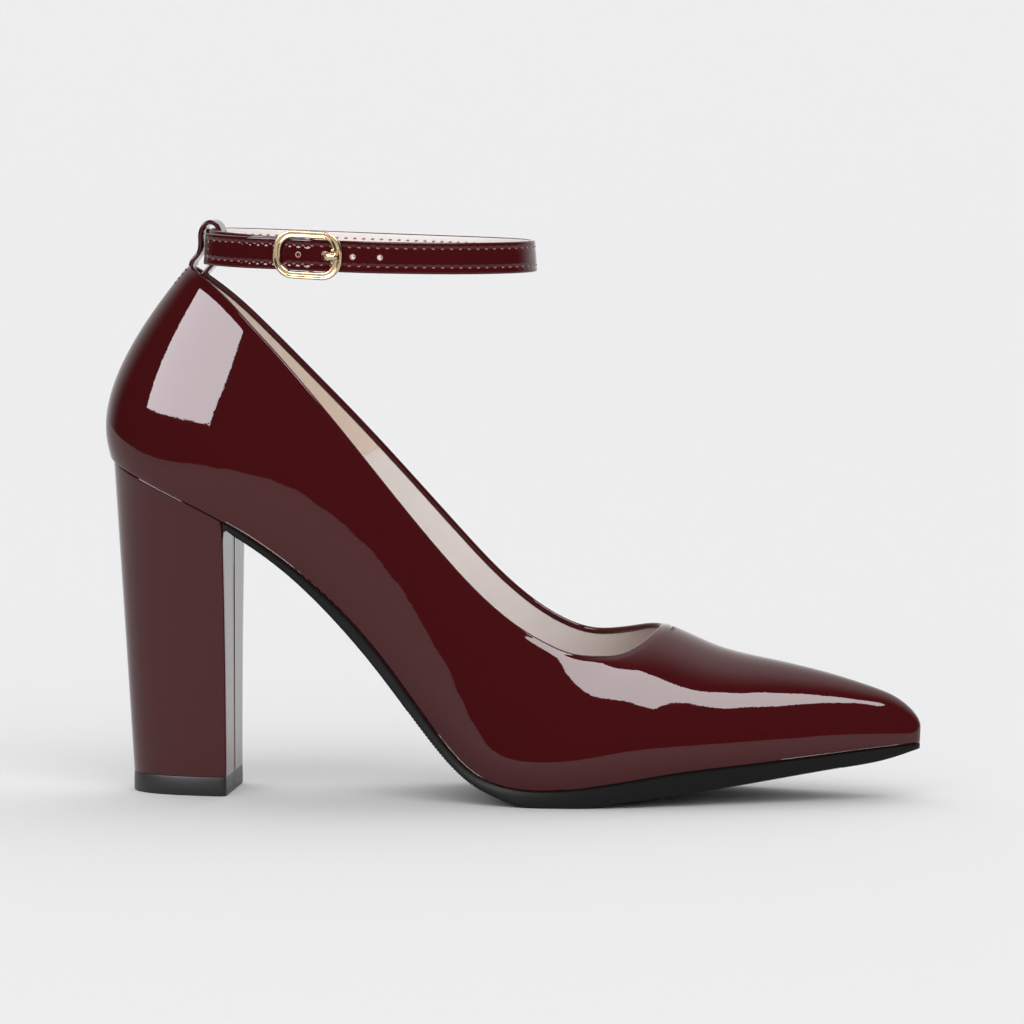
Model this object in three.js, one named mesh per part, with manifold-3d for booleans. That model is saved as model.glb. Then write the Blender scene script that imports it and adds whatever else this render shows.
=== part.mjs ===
// Ankle strap pump with a covered block heel, right foot, in millimetres.
// +X runs from the heel to the toe, +Y to the inner side of the foot and +Z up.
// The origin is on the floor, on the heel tip's flat bottom.
import * as THREE from 'three';
import * as BufferGeometryUtils from 'three/addons/utils/BufferGeometryUtils.js';
import Module from 'manifold-3d';

const wasm = await Module();
wasm.setup();

// Driving sizes of the last
const FEATHER_LENGTH = 226;
const FEATHER_BACK_X = -21.4;
const SEAT_HEIGHT = 93.3;
const TOE_SPRING = 11.1;
const FEATHER_WIDTH = 70;
const CONE_HEIGHT = 74;
const COUNTER_BULGE = 14;
const BACK_ROUND = 46;
const TOE_ROUND = 13;
const TOE_WALL = 4;
const THROAT_LENGTH = 139.6;

// Driving sizes of the upper, the insole and the outsole
const GAP = 0.3;
const WALL = 1.8;
const THROAT_ROUND_OUTER = 16;
const THROAT_ROUND_INNER = 26;
const INSOLE_THICKNESS = 2;
const SOLE_THICKNESS = 4.4;
const SOLE_CAMBER = 1.2;
const SOLE_INSET = 0.5;
const SOLE_EDGE_ROUND = 0.7;
const SOLE_EDGE_SWELL = 0.2;
const SOLE_TIP_SHARE = 0.3;

// Driving sizes of the heel and its tip
const BREAST_X = 13;
const TIP_BACK_X = -15.2;
const TIP_WIDTH = 33;
const TIP_HEIGHT = 5.4;
const TIP_EDGE_ROUND = 0.4;
const HEEL_SEAT_INSET = 1;
const HEEL_FLARE = 1.9;
const BREAST_SEAM_WIDTH = 1.6;
const BREAST_SEAM_DEPTH = 0.8;

// Driving sizes of the ankle strap and its back loop
const STRAP_WIDTH = 8.7;
const STRAP_THICKNESS = 1.9;
const STRAP_BEVEL = 0.35;
const FREE_END_X = 9.5;
const LAYER_RISE_START = 34;
const FREE_END_DROP = 0.7;
const RING_LENGTH = 90.4;
const RING_WIDTH = 57;
const RING_HEIGHT = 149.8;
const RING_BACK_LIFT = 3;
const LOOP_WIDTH = 10;
const LOOP_THICKNESS = 1.2;
const LOOP_BEVEL = 0.25;
const LOOP_OPEN = 4.4;
const LOOP_X = 7.3;
const LOOP_HEADROOM = 0.8;
const LOOP_SEAT_CLEAR = 2.4;

// Driving sizes of the buckle
const BUCKLE_X = 38.9;
const BUCKLE_LENGTH = 19.8;
const BUCKLE_HEIGHT = 13.3;
const BUCKLE_CORNER = 4.6;
const BUCKLE_BAR = 1.8;
const CENTRE_BAR = 1.5;
const FOLD_THICKNESS = 1.1;
const LEG_CLEAR = 0.4;
const PRONG_THICKNESS = 1.4;
const PRONG_REACH = 9.2;

// The last, from the back of the seat to the toe tip.
// along is a share of FEATHER_LENGTH, seat of the rise of the seat, spring of TOE_SPRING,
// lean and tall of CONE_HEIGHT, outer and inner of FEATHER_WIDTH.
// low, side, high and crest say how far the wall stands out, as shares of the half width.
const last = smoothTable('along seat spring lean tall outer inner low side high crest', [
  [0.000, 1.000, 0.00, 0.523, 1.000, 0.336, 0.336, 1.16, 1.18, 0.92, 0.55],
  [0.053, 0.939, 0.00, 0.502, 1.000, 0.340, 0.340, 1.16, 1.20, 0.92, 0.55],
  [0.153, 0.818, 0.00, 0.446, 0.973, 0.347, 0.340, 1.14, 1.22, 0.92, 0.55],
  [0.223, 0.703, 0.00, 0.486, 0.892, 0.340, 0.314, 1.14, 1.26, 0.98, 0.58],
  [0.292, 0.554, 0.00, 0.514, 0.811, 0.333, 0.293, 1.14, 1.32, 1.06, 0.60],
  [0.354, 0.376, 0.00, 0.514, 0.757, 0.346, 0.300, 1.13, 1.34, 1.10, 0.60],
  [0.409, 0.191, 0.00, 0.486, 0.730, 0.379, 0.343, 1.12, 1.30, 1.08, 0.60],
  [0.456, 0.060, 0.00, 0.419, 0.724, 0.421, 0.400, 1.12, 1.24, 1.02, 0.58],
  [0.502, 0.008, 0.00, 0.342, 0.676, 0.471, 0.457, 1.10, 1.18, 0.98, 0.56],
  [0.558, 0.000, 0.00, 0.264, 0.608, 0.500, 0.500, 1.08, 1.14, 0.95, 0.54],
  [0.624, 0.000, 0.15, 0.189, 0.561, 0.486, 0.507, 1.07, 1.12, 0.94, 0.53],
  [0.708, 0.000, 0.41, 0.122, 0.446, 0.407, 0.450, 1.07, 1.12, 0.95, 0.53],
  [0.796, 0.000, 0.59, 0.074, 0.365, 0.300, 0.357, 1.08, 1.13, 0.97, 0.55],
  [0.885, 0.000, 0.77, 0.041, 0.281, 0.189, 0.246, 1.09, 1.15, 1.00, 0.58],
  [0.956, 0.000, 0.92, 0.014, 0.196, 0.106, 0.163, 1.10, 1.16, 1.02, 0.60],
  [1.000, 0.000, 1.00, 0.005, 0.135, 0.066, 0.114, 1.10, 1.16, 1.02, 0.60],
]);

// Heights of a section's six guide points, and how far the back curve stands out behind each
const GUIDE_HEIGHTS = [0, 0.08, 0.30, 0.64, 1, 1];
const BACK_CURVE = [0, 0.32, 1.48, 0.72, -0.11, -0.19];
const GUIDE_WEIGHTS = [1, 5, 10, 10, 5, 1];

// Topline, as the share of the section that the wall still covers on each side of the foot.
// along is a share of THROAT_LENGTH.
const topline = smoothTable('along outer inner', [
  [0.000, 0.672, 0.672],
  [0.081, 0.640, 0.630],
  [0.146, 0.608, 0.595],
  [0.210, 0.581, 0.566],
  [0.275, 0.554, 0.543],
  [0.340, 0.528, 0.526],
  [0.405, 0.506, 0.514],
  [0.470, 0.493, 0.510],
  [0.534, 0.494, 0.517],
  [0.607, 0.518, 0.543],
  [0.680, 0.571, 0.597],
  [0.745, 0.627, 0.658],
  [0.821, 0.680, 0.732],
  [0.889, 0.731, 0.823],
  [0.955, 0.761, 0.896],
  [1.000, 0.775, 0.930],
]);

// Outsole edge, as shares of SOLE_THICKNESS and SOLE_CAMBER
const soleTable = smoothTable('along thick camber', [
  [0.150, 0.40, 0.60],
  [0.230, 0.45, 1.00],
  [0.300, 0.65, 0.95],
  [0.345, 0.67, 0.80],
  [0.400, 0.60, 0.40],
  [0.456, 0.56, 0.10],
  [0.480, 0.62, 0.00],
  [0.502, 0.76, 0.00],
  [0.525, 1.00, 0.00],
  [0.560, 1.08, 0.00],
  [0.600, 1.21, 0.00],
  [0.650, 1.29, 0.00],
  [0.700, 1.36, 0.00],
  [0.800, 1.20, 0.00],
  [0.900, 0.95, 0.00],
  [0.960, 0.76, 0.00],
  [1.000, 0.34, 0.00],
]);

// Steps between the sections and around them
const BACK_STEPS = 7;
const WAIST_STEPS = 12;
const THROAT_STEPS = 5;
const VAMP_STEPS = 9;
const TOE_STEPS = 5;
const WALL_STEPS = 10;
const HEEL_LEVELS = 8;
const TREAD_SHARES = [0.3, 0.7];
const RING_STEPS = 72;
const LOOP_STEPS = 40;
const PRONG_STEPS = 14;
const CORNER_STEPS = 5;

const FEATHER_BASE = SOLE_THICKNESS + GAP;
const BREAST = BREAST_X - FEATHER_BACK_X;
const OUTER_SIDE = -1;
const INNER_SIDE = 1;

// Natural cubic spline through the points
function naturalSpline(xs, ys) {
  const count = xs.length;
  const bend = new Array(count).fill(0);
  const sweep = new Array(count).fill(0);
  const load = new Array(count).fill(0);
  for (let i = 1; i < count - 1; i += 1) {
    const left = xs[i] - xs[i - 1];
    const right = xs[i + 1] - xs[i];
    const turn = 6 * ((ys[i + 1] - ys[i]) / right - (ys[i] - ys[i - 1]) / left);
    const pivot = 2 * (left + right) - left * sweep[i - 1];
    sweep[i] = right / pivot;
    load[i] = (turn - left * load[i - 1]) / pivot;
  }
  for (let i = count - 2; i > 0; i -= 1) {
    bend[i] = load[i] - sweep[i] * bend[i + 1];
  }
  return (x) => {
    const at = Math.min(Math.max(x, xs[0]), xs[count - 1]);
    let i = 0;
    while (i < count - 2 && at > xs[i + 1]) {
      i += 1;
    }
    const span = xs[i + 1] - xs[i];
    const back = (xs[i + 1] - at) / span;
    const front = 1 - back;
    const curve = (back ** 3 - back) * bend[i] + (front ** 3 - front) * bend[i + 1];
    return back * ys[i] + front * ys[i + 1] + curve * span * span / 6;
  };
}

// Smooth function of a table's first column that gives the other columns by name
function smoothTable(columns, rows) {
  const names = columns.split(' ').slice(1);
  const places = rows.map((row) => row[0]);
  const curves = names.map((name, k) => naturalSpline(places, rows.map((row) => row[k + 1])));
  return (place) => Object.fromEntries(names.map((name, k) => [name, curves[k](place)]));
}

function mix(from, to, share) {
  return from + (to - from) * share;
}

function smoothStep(share) {
  const held = Math.min(Math.max(share, 0), 1);
  return held * held * (3 - 2 * held);
}

// Rounds an end off in plan: 0 at the end, 1 where the full width is reached
function rounding(share) {
  const held = Math.min(Math.max(share, 0), 1);
  return Math.sqrt(1 - (1 - held) ** 3);
}

// Point of the last's surface at a distance along the feather line and a share of the wall
function lastPoint(along, up, side) {
  const row = last(along / FEATHER_LENGTH);
  const backRound = rounding(along / BACK_ROUND);
  const toeRound = rounding((FEATHER_LENGTH - along) / TOE_ROUND);
  const fullHeight = row.tall * CONE_HEIGHT;
  const height = TOE_WALL + (fullHeight - TOE_WALL) * toeRound;
  const halfWidth = (side < 0 ? row.outer : row.inner) * FEATHER_WIDTH * backRound * toeRound;
  const bulge = COUNTER_BULGE * Math.max(1 - along / BACK_ROUND, 0) ** 3;
  const lean = row.lean * CONE_HEIGHT * height / fullHeight;
  const outs = [1, row.low, row.side, row.high, row.crest, 0];
  const point = new THREE.Vector3(FEATHER_BACK_X + along, 0, featherHeight(row));
  GUIDE_WEIGHTS.forEach((weight, k) => {
    const pull = weight * up ** k * (1 - up) ** (5 - k);
    point.x += pull * (lean * GUIDE_HEIGHTS[k] - bulge * BACK_CURVE[k]);
    point.y += pull * side * halfWidth * outs[k];
    point.z += pull * height * GUIDE_HEIGHTS[k];
  });
  return point;
}

function featherHeight(row) {
  return FEATHER_BASE + row.seat * (SEAT_HEIGHT - FEATHER_BASE) + row.spring * TOE_SPRING;
}

// Outward direction of one side of the last
function sideNormal(along, up, side) {
  const step = 0.02;
  const a = Math.min(Math.max(along, step), FEATHER_LENGTH - step);
  const v = Math.min(Math.max(up, step), 1 - step);
  const forward = lastPoint(a + step, v, side).sub(lastPoint(a - step, v, side));
  const upward = lastPoint(a, v + step, side).sub(lastPoint(a, v - step, side));
  return (side < 0 ? forward.cross(upward) : upward.cross(forward)).normalize();
}

// Outward direction of the last, shared by the two sides where they meet on the middle plane
function lastNormal(along, up, side) {
  if (along > 0 && along < FEATHER_LENGTH && up < 1) {
    return sideNormal(along, up, side);
  }
  const shared = sideNormal(along, up, OUTER_SIDE).add(sideNormal(along, up, INNER_SIDE));
  shared.y = 0;
  return shared.normalize();
}

// Outward direction in the plane of the feather line
function featherNormal(along, side) {
  const row = last(along / FEATHER_LENGTH);
  const up = new THREE.Vector3(row.lean, 0, row.tall).normalize();
  const normal = lastNormal(along, 0, side);
  return normal.addScaledVector(up, -normal.dot(up)).normalize();
}

// Upward direction square to the bottom of the last, seen from the side
function bottomNormal(along) {
  const step = 0.5;
  const back = Math.max(along - step, 0);
  const front = Math.min(along + step, FEATHER_LENGTH);
  const from = lastPoint(back, 0, 1);
  const to = lastPoint(front, 0, 1);
  return new THREE.Vector3(from.z - to.z, 0, to.x - from.x).normalize();
}

// Inner face of the upper's wall, which stays in the feather plane at its foot
function liningPoint(along, up, side) {
  const footShare = 0.15;
  const normal = featherNormal(along, side).lerp(lastNormal(along, up, side), smoothStep(up / footShare));
  return lastPoint(along, up, side).addScaledVector(normal.normalize(), -WALL);
}

// Share of the section that the wall covers, rounded off to the whole section at the throat
function wallTop(along, side) {
  if (along >= THROAT_LENGTH) {
    return 1;
  }
  const row = topline(along / THROAT_LENGTH);
  const cover = side < 0 ? row.outer : row.inner;
  const round = side < 0 ? THROAT_ROUND_OUTER : THROAT_ROUND_INNER;
  return 1 - (1 - cover) * rounding((THROAT_LENGTH - along) / round);
}

// Places along the feather line, close together where the outline is rounded
function placesAlong() {
  const throatStart = THROAT_LENGTH - THROAT_ROUND_OUTER;
  const toeStart = FEATHER_LENGTH - TOE_ROUND;
  const places = [];
  for (let k = 0; k < BACK_STEPS; k += 1) {
    places.push(BACK_ROUND * (k / BACK_STEPS) ** 2);
  }
  for (let k = 0; k < WAIST_STEPS; k += 1) {
    places.push(mix(BACK_ROUND, throatStart, k / WAIST_STEPS));
  }
  for (let k = THROAT_STEPS; k > 0; k -= 1) {
    places.push(THROAT_LENGTH - THROAT_ROUND_OUTER * (k / THROAT_STEPS) ** 2);
  }
  for (let k = 0; k < VAMP_STEPS; k += 1) {
    places.push(mix(THROAT_LENGTH, toeStart, k / VAMP_STEPS));
  }
  for (let k = TOE_STEPS; k >= 0; k -= 1) {
    places.push(FEATHER_LENGTH - TOE_ROUND * (k / TOE_STEPS) ** 2);
  }
  return places;
}

// Closed skin made of quads whose shared corners are joined
class Skin {
  constructor() {
    this.points = [];
    this.faces = [];
    this.known = new Map();
  }

  corner(point) {
    const key = point.toArray().map((value) => Math.round(value * 1e4)).join(' ');
    if (!this.known.has(key)) {
      this.known.set(key, this.points.length);
      this.points.push(point.clone());
    }
    return this.known.get(key);
  }

  triangle(a, b, c) {
    const face = [this.corner(a), this.corner(b), this.corner(c)];
    if (new Set(face).size === 3) {
      this.faces.push(face);
    }
  }

  quad(a, b, c, d) {
    this.triangle(a, b, c);
    this.triangle(a, c, d);
  }

  // Strips between two rows of points, facing the other way when flipped
  strip(low, high, flipped = false) {
    for (let k = 0; k + 1 < low.length; k += 1) {
      if (flipped) {
        this.quad(low[k], high[k], high[k + 1], low[k + 1]);
      } else {
        this.quad(low[k], low[k + 1], high[k + 1], high[k]);
      }
    }
  }

  // Flat end on a closed ring of points; a ring that has closed up needs none
  cap(ring, flipped) {
    const flat = flattened(ring);
    if (THREE.ShapeUtils.area(flat) < 1e-3) {
      return;
    }
    THREE.ShapeUtils.triangulateShape(flat, []).forEach(([a, b, c]) => {
      if (flipped) {
        this.triangle(ring[a], ring[c], ring[b]);
      } else {
        this.triangle(ring[a], ring[b], ring[c]);
      }
    });
  }

  geometry() {
    const geometry = new THREE.BufferGeometry();
    const values = this.points.flatMap((point) => point.toArray());
    geometry.setAttribute('position', new THREE.Float32BufferAttribute(values, 3));
    geometry.setIndex(this.faces.flat());
    return geometry;
  }
}

// Ring of points in its own plane, counter-clockwise
function flattened(ring) {
  const centre = ring.reduce((sum, point) => sum.add(point), new THREE.Vector3()).divideScalar(ring.length);
  const normal = new THREE.Vector3();
  ring.forEach((point, k) => {
    const next = ring[(k + 1) % ring.length];
    normal.add(point.clone().sub(centre).cross(next.clone().sub(centre)));
  });
  normal.normalize();
  const helper = Math.abs(normal.x) > 0.9 ? new THREE.Vector3(0, 1, 0) : new THREE.Vector3(1, 0, 0);
  const across = helper.addScaledVector(normal, -helper.dot(normal)).normalize();
  const upward = normal.clone().cross(across);
  return ring.map((point) => {
    const arm = point.clone().sub(centre);
    return new THREE.Vector2(arm.dot(across), arm.dot(upward));
  });
}

// Closed body through a stack of rings of the same number of points.
// Each ring runs counter-clockwise seen from the next ring.
function loft(rings, closed = false) {
  const skin = new Skin();
  const count = closed ? rings.length : rings.length - 1;
  for (let k = 0; k < count; k += 1) {
    const low = rings[k];
    const high = rings[(k + 1) % rings.length];
    skin.strip([...low, low[0]], [...high, high[0]]);
  }
  if (!closed) {
    skin.cap(rings[0], true);
    skin.cap(rings[rings.length - 1], false);
  }
  return skin.geometry();
}

// Section of a strap with its corners bevelled, counter-clockwise
function strapSection(thickness, width, bevel) {
  const t = thickness / 2;
  const w = width / 2;
  return [
    [t, -w + bevel], [t, w - bevel], [t - bevel, w], [-t + bevel, w],
    [-t, w - bevel], [-t, -w + bevel], [-t + bevel, -w], [t - bevel, -w],
  ];
}

function roundSection(diameter, sides) {
  return Array.from({ length: sides }, (_, k) => {
    const turn = 2 * Math.PI * (k + 0.5) / sides;
    return [Math.cos(turn) * diameter / 2, Math.sin(turn) * diameter / 2];
  });
}

function toSolid(geometry) {
  const merged = BufferGeometryUtils.mergeVertices(positionOnly(geometry), 1e-4);
  return new wasm.Manifold(new wasm.Mesh({
    numProp: 3,
    vertProperties: new Float32Array(merged.attributes.position.array),
    triVerts: new Uint32Array(merged.index.array),
  }));
}

function positionOnly(geometry) {
  const copy = geometry.clone();
  copy.deleteAttribute('normal');
  copy.deleteAttribute('uv');
  return copy;
}

function toGeometry(solid) {
  const { vertProperties, triVerts } = solid.getMesh();
  const geometry = new THREE.BufferGeometry();
  geometry.setAttribute('position', new THREE.BufferAttribute(vertProperties, 3));
  geometry.setIndex(new THREE.BufferAttribute(triVerts, 1));
  return geometry;
}

// Upper: one hollow wall, open at the collar and underneath
function upperGeometry() {
  const skin = new Skin();
  const places = placesAlong();
  const steps = Array.from({ length: WALL_STEPS + 1 }, (_, k) => k / WALL_STEPS);
  [OUTER_SIDE, INNER_SIDE].forEach((side) => {
    const flipped = side > 0;
    const rows = places.map((along) => {
      const top = wallTop(along, side);
      return {
        outside: steps.map((step) => lastPoint(along, top * step, side)),
        lining: steps.map((step) => liningPoint(along, top * step, side)),
        open: top < 1,
      };
    });
    for (let k = 0; k + 1 < rows.length; k += 1) {
      const here = rows[k];
      const next = rows[k + 1];
      skin.strip(next.outside, here.outside, flipped);
      skin.strip(here.lining, next.lining, flipped);
      skin.strip([here.outside[0], here.lining[0]], [next.outside[0], next.lining[0]], flipped);
      if (here.open) {
        const rim = [here.lining[WALL_STEPS], here.outside[WALL_STEPS]];
        const nextRim = [next.lining[WALL_STEPS], next.outside[WALL_STEPS]];
        skin.strip(rim, nextRim, flipped);
      }
    }
  });
  return skin.geometry();
}

// Insole: a flat board inside the foot of the wall
function insoleGeometry() {
  const rings = placesAlong().map((along) => {
    const row = last(along / FEATHER_LENGTH);
    const up = new THREE.Vector3(row.lean, 0, row.tall).normalize();
    const edges = [OUTER_SIDE, INNER_SIDE].map((side) => (
      lastPoint(along, 0, side).addScaledVector(featherNormal(along, side), -WALL - GAP)
    ));
    const tops = edges.map((edge) => edge.clone().addScaledVector(up, INSOLE_THICKNESS));
    return [edges[0], edges[1], tops[1], tops[0]];
  });
  return loft(rings);
}

// Outsole: from the heel breast to the toe tip, flat on the floor under the ball
function outsoleGeometry() {
  const places = [BREAST + GAP, ...placesAlong().filter((along) => along > BREAST + SOLE_THICKNESS)];
  const held = (point) => {
    point.x = Math.max(point.x, BREAST_X + GAP);
    point.z = Math.max(point.z, 0);
    return point;
  };
  const rings = places.map((along) => {
    const row = soleTable(along / FEATHER_LENGTH);
    const down = bottomNormal(along).negate();
    const thick = row.thick * SOLE_THICKNESS;
    const tipShare = Math.max(rounding((FEATHER_LENGTH - along) / TOE_ROUND), SOLE_TIP_SHARE);
    const [outer, inner] = [OUTER_SIDE, INNER_SIDE].map((side) => {
      const edge = (inset, depth) => {
        const point = lastPoint(along, 0, side);
        point.addScaledVector(featherNormal(along, side), -inset * tipShare);
        return held(point.addScaledVector(down, GAP + depth));
      };
      return {
        top: edge(SOLE_INSET, 0),
        middle: edge(SOLE_INSET - SOLE_EDGE_SWELL, thick / 2),
        bottom: edge(SOLE_INSET + SOLE_EDGE_ROUND, thick),
      };
    });
    const tread = TREAD_SHARES.map((share) => {
      const point = outer.bottom.clone().lerp(inner.bottom, share);
      return held(point.addScaledVector(down, Math.max(row.camber, 0) * SOLE_CAMBER));
    });
    return [
      outer.top, outer.middle, outer.bottom, ...tread, inner.bottom, inner.middle, inner.top,
    ];
  });
  return loft(rings);
}

// Places from the breast round the back of the heel and to the breast again
function heelPlaces() {
  const outer = [];
  for (let k = BACK_STEPS; k >= 0; k -= 1) {
    outer.push({ along: BREAST * (k / BACK_STEPS) ** 2, side: OUTER_SIDE });
  }
  const inner = outer.slice(0, -1).reverse().map(({ along }) => ({ along, side: INNER_SIDE }));
  return [...outer, ...inner];
}

// Outline of the heel at a share of its height, with the seam of its cover on the breast
function heelOutline(share, inset) {
  const seat = heelPlaces().map(({ along, side }) => {
    const point = lastPoint(along, 0, side);
    point.addScaledVector(featherNormal(along, side), -HEEL_SEAT_INSET);
    point.addScaledVector(bottomNormal(along), -GAP);
    point.x = Math.min(point.x, BREAST_X);
    return point;
  });
  seat[0].x = BREAST_X;
  seat[seat.length - 1].x = BREAST_X;
  const fullRound = rounding(BREAST / BACK_ROUND);
  return heelPlaces().map(({ along, side }, k) => {
    const foot = new THREE.Vector3(
      mix(TIP_BACK_X + inset, BREAST_X, along / BREAST),
      side * (TIP_WIDTH / 2 - inset) * rounding(along / BACK_ROUND) / fullRound,
      TIP_HEIGHT + GAP,
    );
    return new THREE.Vector3(
      mix(foot.x, seat[k].x, share),
      mix(foot.y, seat[k].y, share ** HEEL_FLARE),
      mix(foot.z, seat[k].z, share),
    );
  });
}

function heelGeometry() {
  const rings = Array.from({ length: HEEL_LEVELS + 1 }, (_, level) => {
    const ring = heelOutline(level / HEEL_LEVELS, 0);
    const front = ring[0];
    [0.5, 0, -0.5].forEach((place) => {
      const depth = place === 0 ? BREAST_SEAM_DEPTH : 0;
      ring.push(new THREE.Vector3(BREAST_X - depth, place * BREAST_SEAM_WIDTH, front.z));
    });
    return ring;
  });
  return loft(rings.map((ring) => ring.slice().reverse()));
}

function heelTipGeometry() {
  const levels = [
    { z: 0, inset: TIP_EDGE_ROUND },
    { z: TIP_EDGE_ROUND, inset: 0 },
    { z: TIP_HEIGHT, inset: 0 },
  ];
  const rings = levels.map(({ z, inset }) => heelOutline(0, inset).map((point) => (
    new THREE.Vector3(Math.min(point.x, BREAST_X - inset), point.y, z)
  )));
  return loft(rings.map((ring) => ring.slice().reverse()));
}

// Back of the strap's ring, which lies against the outer leg of the loop
const RING_BACK_X = LOOP_X - LOOP_OPEN / 2 + GAP + STRAP_THICKNESS / 2;
const RING_CENTRE_X = RING_BACK_X + RING_LENGTH / 2;
const LAYER_STEP = STRAP_THICKNESS + GAP;
const FOLD_RADIUS = CENTRE_BAR / 2 + GAP + FOLD_THICKNESS;
const BUCKLE_ANGLE = -Math.acos((RING_CENTRE_X - BUCKLE_X) / (RING_LENGTH / 2));

function ringHeight(x) {
  const forward = (x - RING_BACK_X) / RING_LENGTH;
  return RING_HEIGHT + RING_BACK_LIFT * (1 - forward) ** 2;
}

// Direction square to the ring, away from the ankle
function ringOut(angle) {
  const along = -Math.cos(angle) * RING_WIDTH;
  return new THREE.Vector3(along, Math.sin(angle) * RING_LENGTH, 0).normalize();
}

// Place on the ring or outside it; the angle starts at the back and turns over the inner side
function ringPlace(angle, out) {
  const x = RING_CENTRE_X - RING_LENGTH / 2 * Math.cos(angle);
  const place = new THREE.Vector3(x, RING_WIDTH / 2 * Math.sin(angle), ringHeight(x));
  return place.addScaledVector(ringOut(angle), out);
}

// How far the strap stands out on its last stretch: over the layer below and the fold at the buckle
function freeLayerOut(x) {
  const ahead = x - BUCKLE_X;
  const half = BUCKLE_LENGTH / 2;
  const rise = smoothStep((LAYER_RISE_START - ahead) / (LAYER_RISE_START - half));
  const overFold = FOLD_RADIUS + GAP + STRAP_THICKNESS / 2 - LAYER_STEP;
  const bump = Math.max(1 - (ahead / half) ** 2, 0) ** 2;
  return LAYER_STEP * rise + overFold * bump;
}

// Path of the strap, from the buckle's bar round the ankle and over itself to the free end
function strapPath() {
  const start = -Math.acos((RING_CENTRE_X - BUCKLE_X + FOLD_RADIUS / 2) / (RING_LENGTH / 2));
  const end = 2 * Math.PI - Math.acos((RING_CENTRE_X - FREE_END_X) / (RING_LENGTH / 2));
  return Array.from({ length: RING_STEPS + 1 }, (_, k) => {
    const angle = mix(start, end, k / RING_STEPS);
    const x = RING_CENTRE_X - RING_LENGTH / 2 * Math.cos(angle);
    const place = ringPlace(angle, angle > Math.PI ? freeLayerOut(x) : 0);
    if (angle > Math.PI) {
      place.z -= FREE_END_DROP * smoothStep((BUCKLE_X - x) / (BUCKLE_X - FREE_END_X));
    }
    return place;
  });
}

// Body with one section along a path; the path turns about the side direction
function sweep(path, side, section, closed = false) {
  const count = path.length;
  const rings = path.map((place, k) => {
    const before = path[closed ? (k + count - 1) % count : Math.max(k - 1, 0)];
    const after = path[closed ? (k + 1) % count : Math.min(k + 1, count - 1)];
    const out = side.clone().cross(after.clone().sub(before)).normalize();
    return section.map(([away, across]) => (
      place.clone().addScaledVector(out, away).addScaledVector(side, across)
    ));
  });
  return loft(rings, closed);
}

function smoothPath(points, steps) {
  return new THREE.CatmullRomCurve3(points, false, 'centripetal').getPoints(steps);
}

// Frame of the buckle: x ahead along the strap, y up and z out from the ankle
function buckleMatrix() {
  const slope = (ringHeight(BUCKLE_X + 1) - ringHeight(BUCKLE_X - 1)) / 2;
  const out = ringOut(BUCKLE_ANGLE);
  const ahead = new THREE.Vector3(-out.y, out.x, slope).normalize();
  const up = out.clone().cross(ahead).normalize();
  return new THREE.Matrix4().makeBasis(ahead, up, out).setPosition(ringPlace(BUCKLE_ANGLE, 0));
}

// How far the ring drops away from the buckle's plane at its end bars
function ringDrop() {
  const inverse = buckleMatrix().invert();
  const drops = [-1, 1].map((end) => {
    const x = BUCKLE_X + end * (BUCKLE_LENGTH - BUCKLE_BAR) / 2;
    const angle = -Math.acos((RING_CENTRE_X - x) / (RING_LENGTH / 2));
    return -ringPlace(angle, 0).applyMatrix4(inverse).z;
  });
  return Math.min(...drops);
}

const FRAME_OUT = LAYER_STEP + STRAP_THICKNESS / 2 + GAP + BUCKLE_BAR / 2 - ringDrop() + GAP / 2;
const PRONG_TOP = FRAME_OUT + (BUCKLE_BAR + PRONG_THICKNESS) / 2 + GAP;
const PRONG_RING = CENTRE_BAR / 2 + GAP;

// Prong from the bar through the third hole and onto the end bar,
// as shares of its reach and of its rise from the bar onto the frame
const PRONG_SHAPE = [[0, 0], [0.28, 0], [0.48, 0.38], [0.68, 0.84], [0.90, 1], [1, 1]];

function prongPath() {
  const low = PRONG_RING + PRONG_THICKNESS / 2;
  return smoothPath(PRONG_SHAPE.map(([reach, rise]) => (
    new THREE.Vector3(reach * PRONG_REACH, 0, mix(low, PRONG_TOP, rise))
  )), PRONG_STEPS);
}

function bar(diameter, length) {
  return new THREE.CylinderGeometry(diameter / 2, diameter / 2, length, 16);
}

function buckleFrameGeometry() {
  const corner = BUCKLE_CORNER - BUCKLE_BAR / 2;
  const sideX = BUCKLE_LENGTH / 2 - BUCKLE_CORNER;
  const sideY = BUCKLE_HEIGHT / 2 - BUCKLE_CORNER;
  const path = [];
  [[1, 1], [-1, 1], [-1, -1], [1, -1]].forEach(([right, top], quarter) => {
    for (let k = 0; k <= CORNER_STEPS; k += 1) {
      const turn = Math.PI / 2 * (quarter + k / CORNER_STEPS);
      const x = right * sideX + corner * Math.cos(turn);
      const y = top * sideY + corner * Math.sin(turn);
      path.push(new THREE.Vector3(x, y, FRAME_OUT));
    }
  });
  const rim = sweep(path, new THREE.Vector3(0, 0, -1), roundSection(BUCKLE_BAR, 10), true);
  const legPlace = STRAP_WIDTH / 2 + CENTRE_BAR / 2 + LEG_CLEAR;
  let frame = toSolid(rim).add(toSolid(bar(CENTRE_BAR, 2 * legPlace)));
  [-1, 1].forEach((end) => {
    const leg = bar(CENTRE_BAR, FRAME_OUT + CENTRE_BAR / 2).rotateX(Math.PI / 2);
    leg.translate(0, end * legPlace, (FRAME_OUT - CENTRE_BAR / 2) / 2);
    frame = frame.add(toSolid(leg));
  });
  return toGeometry(frame);
}

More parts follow.
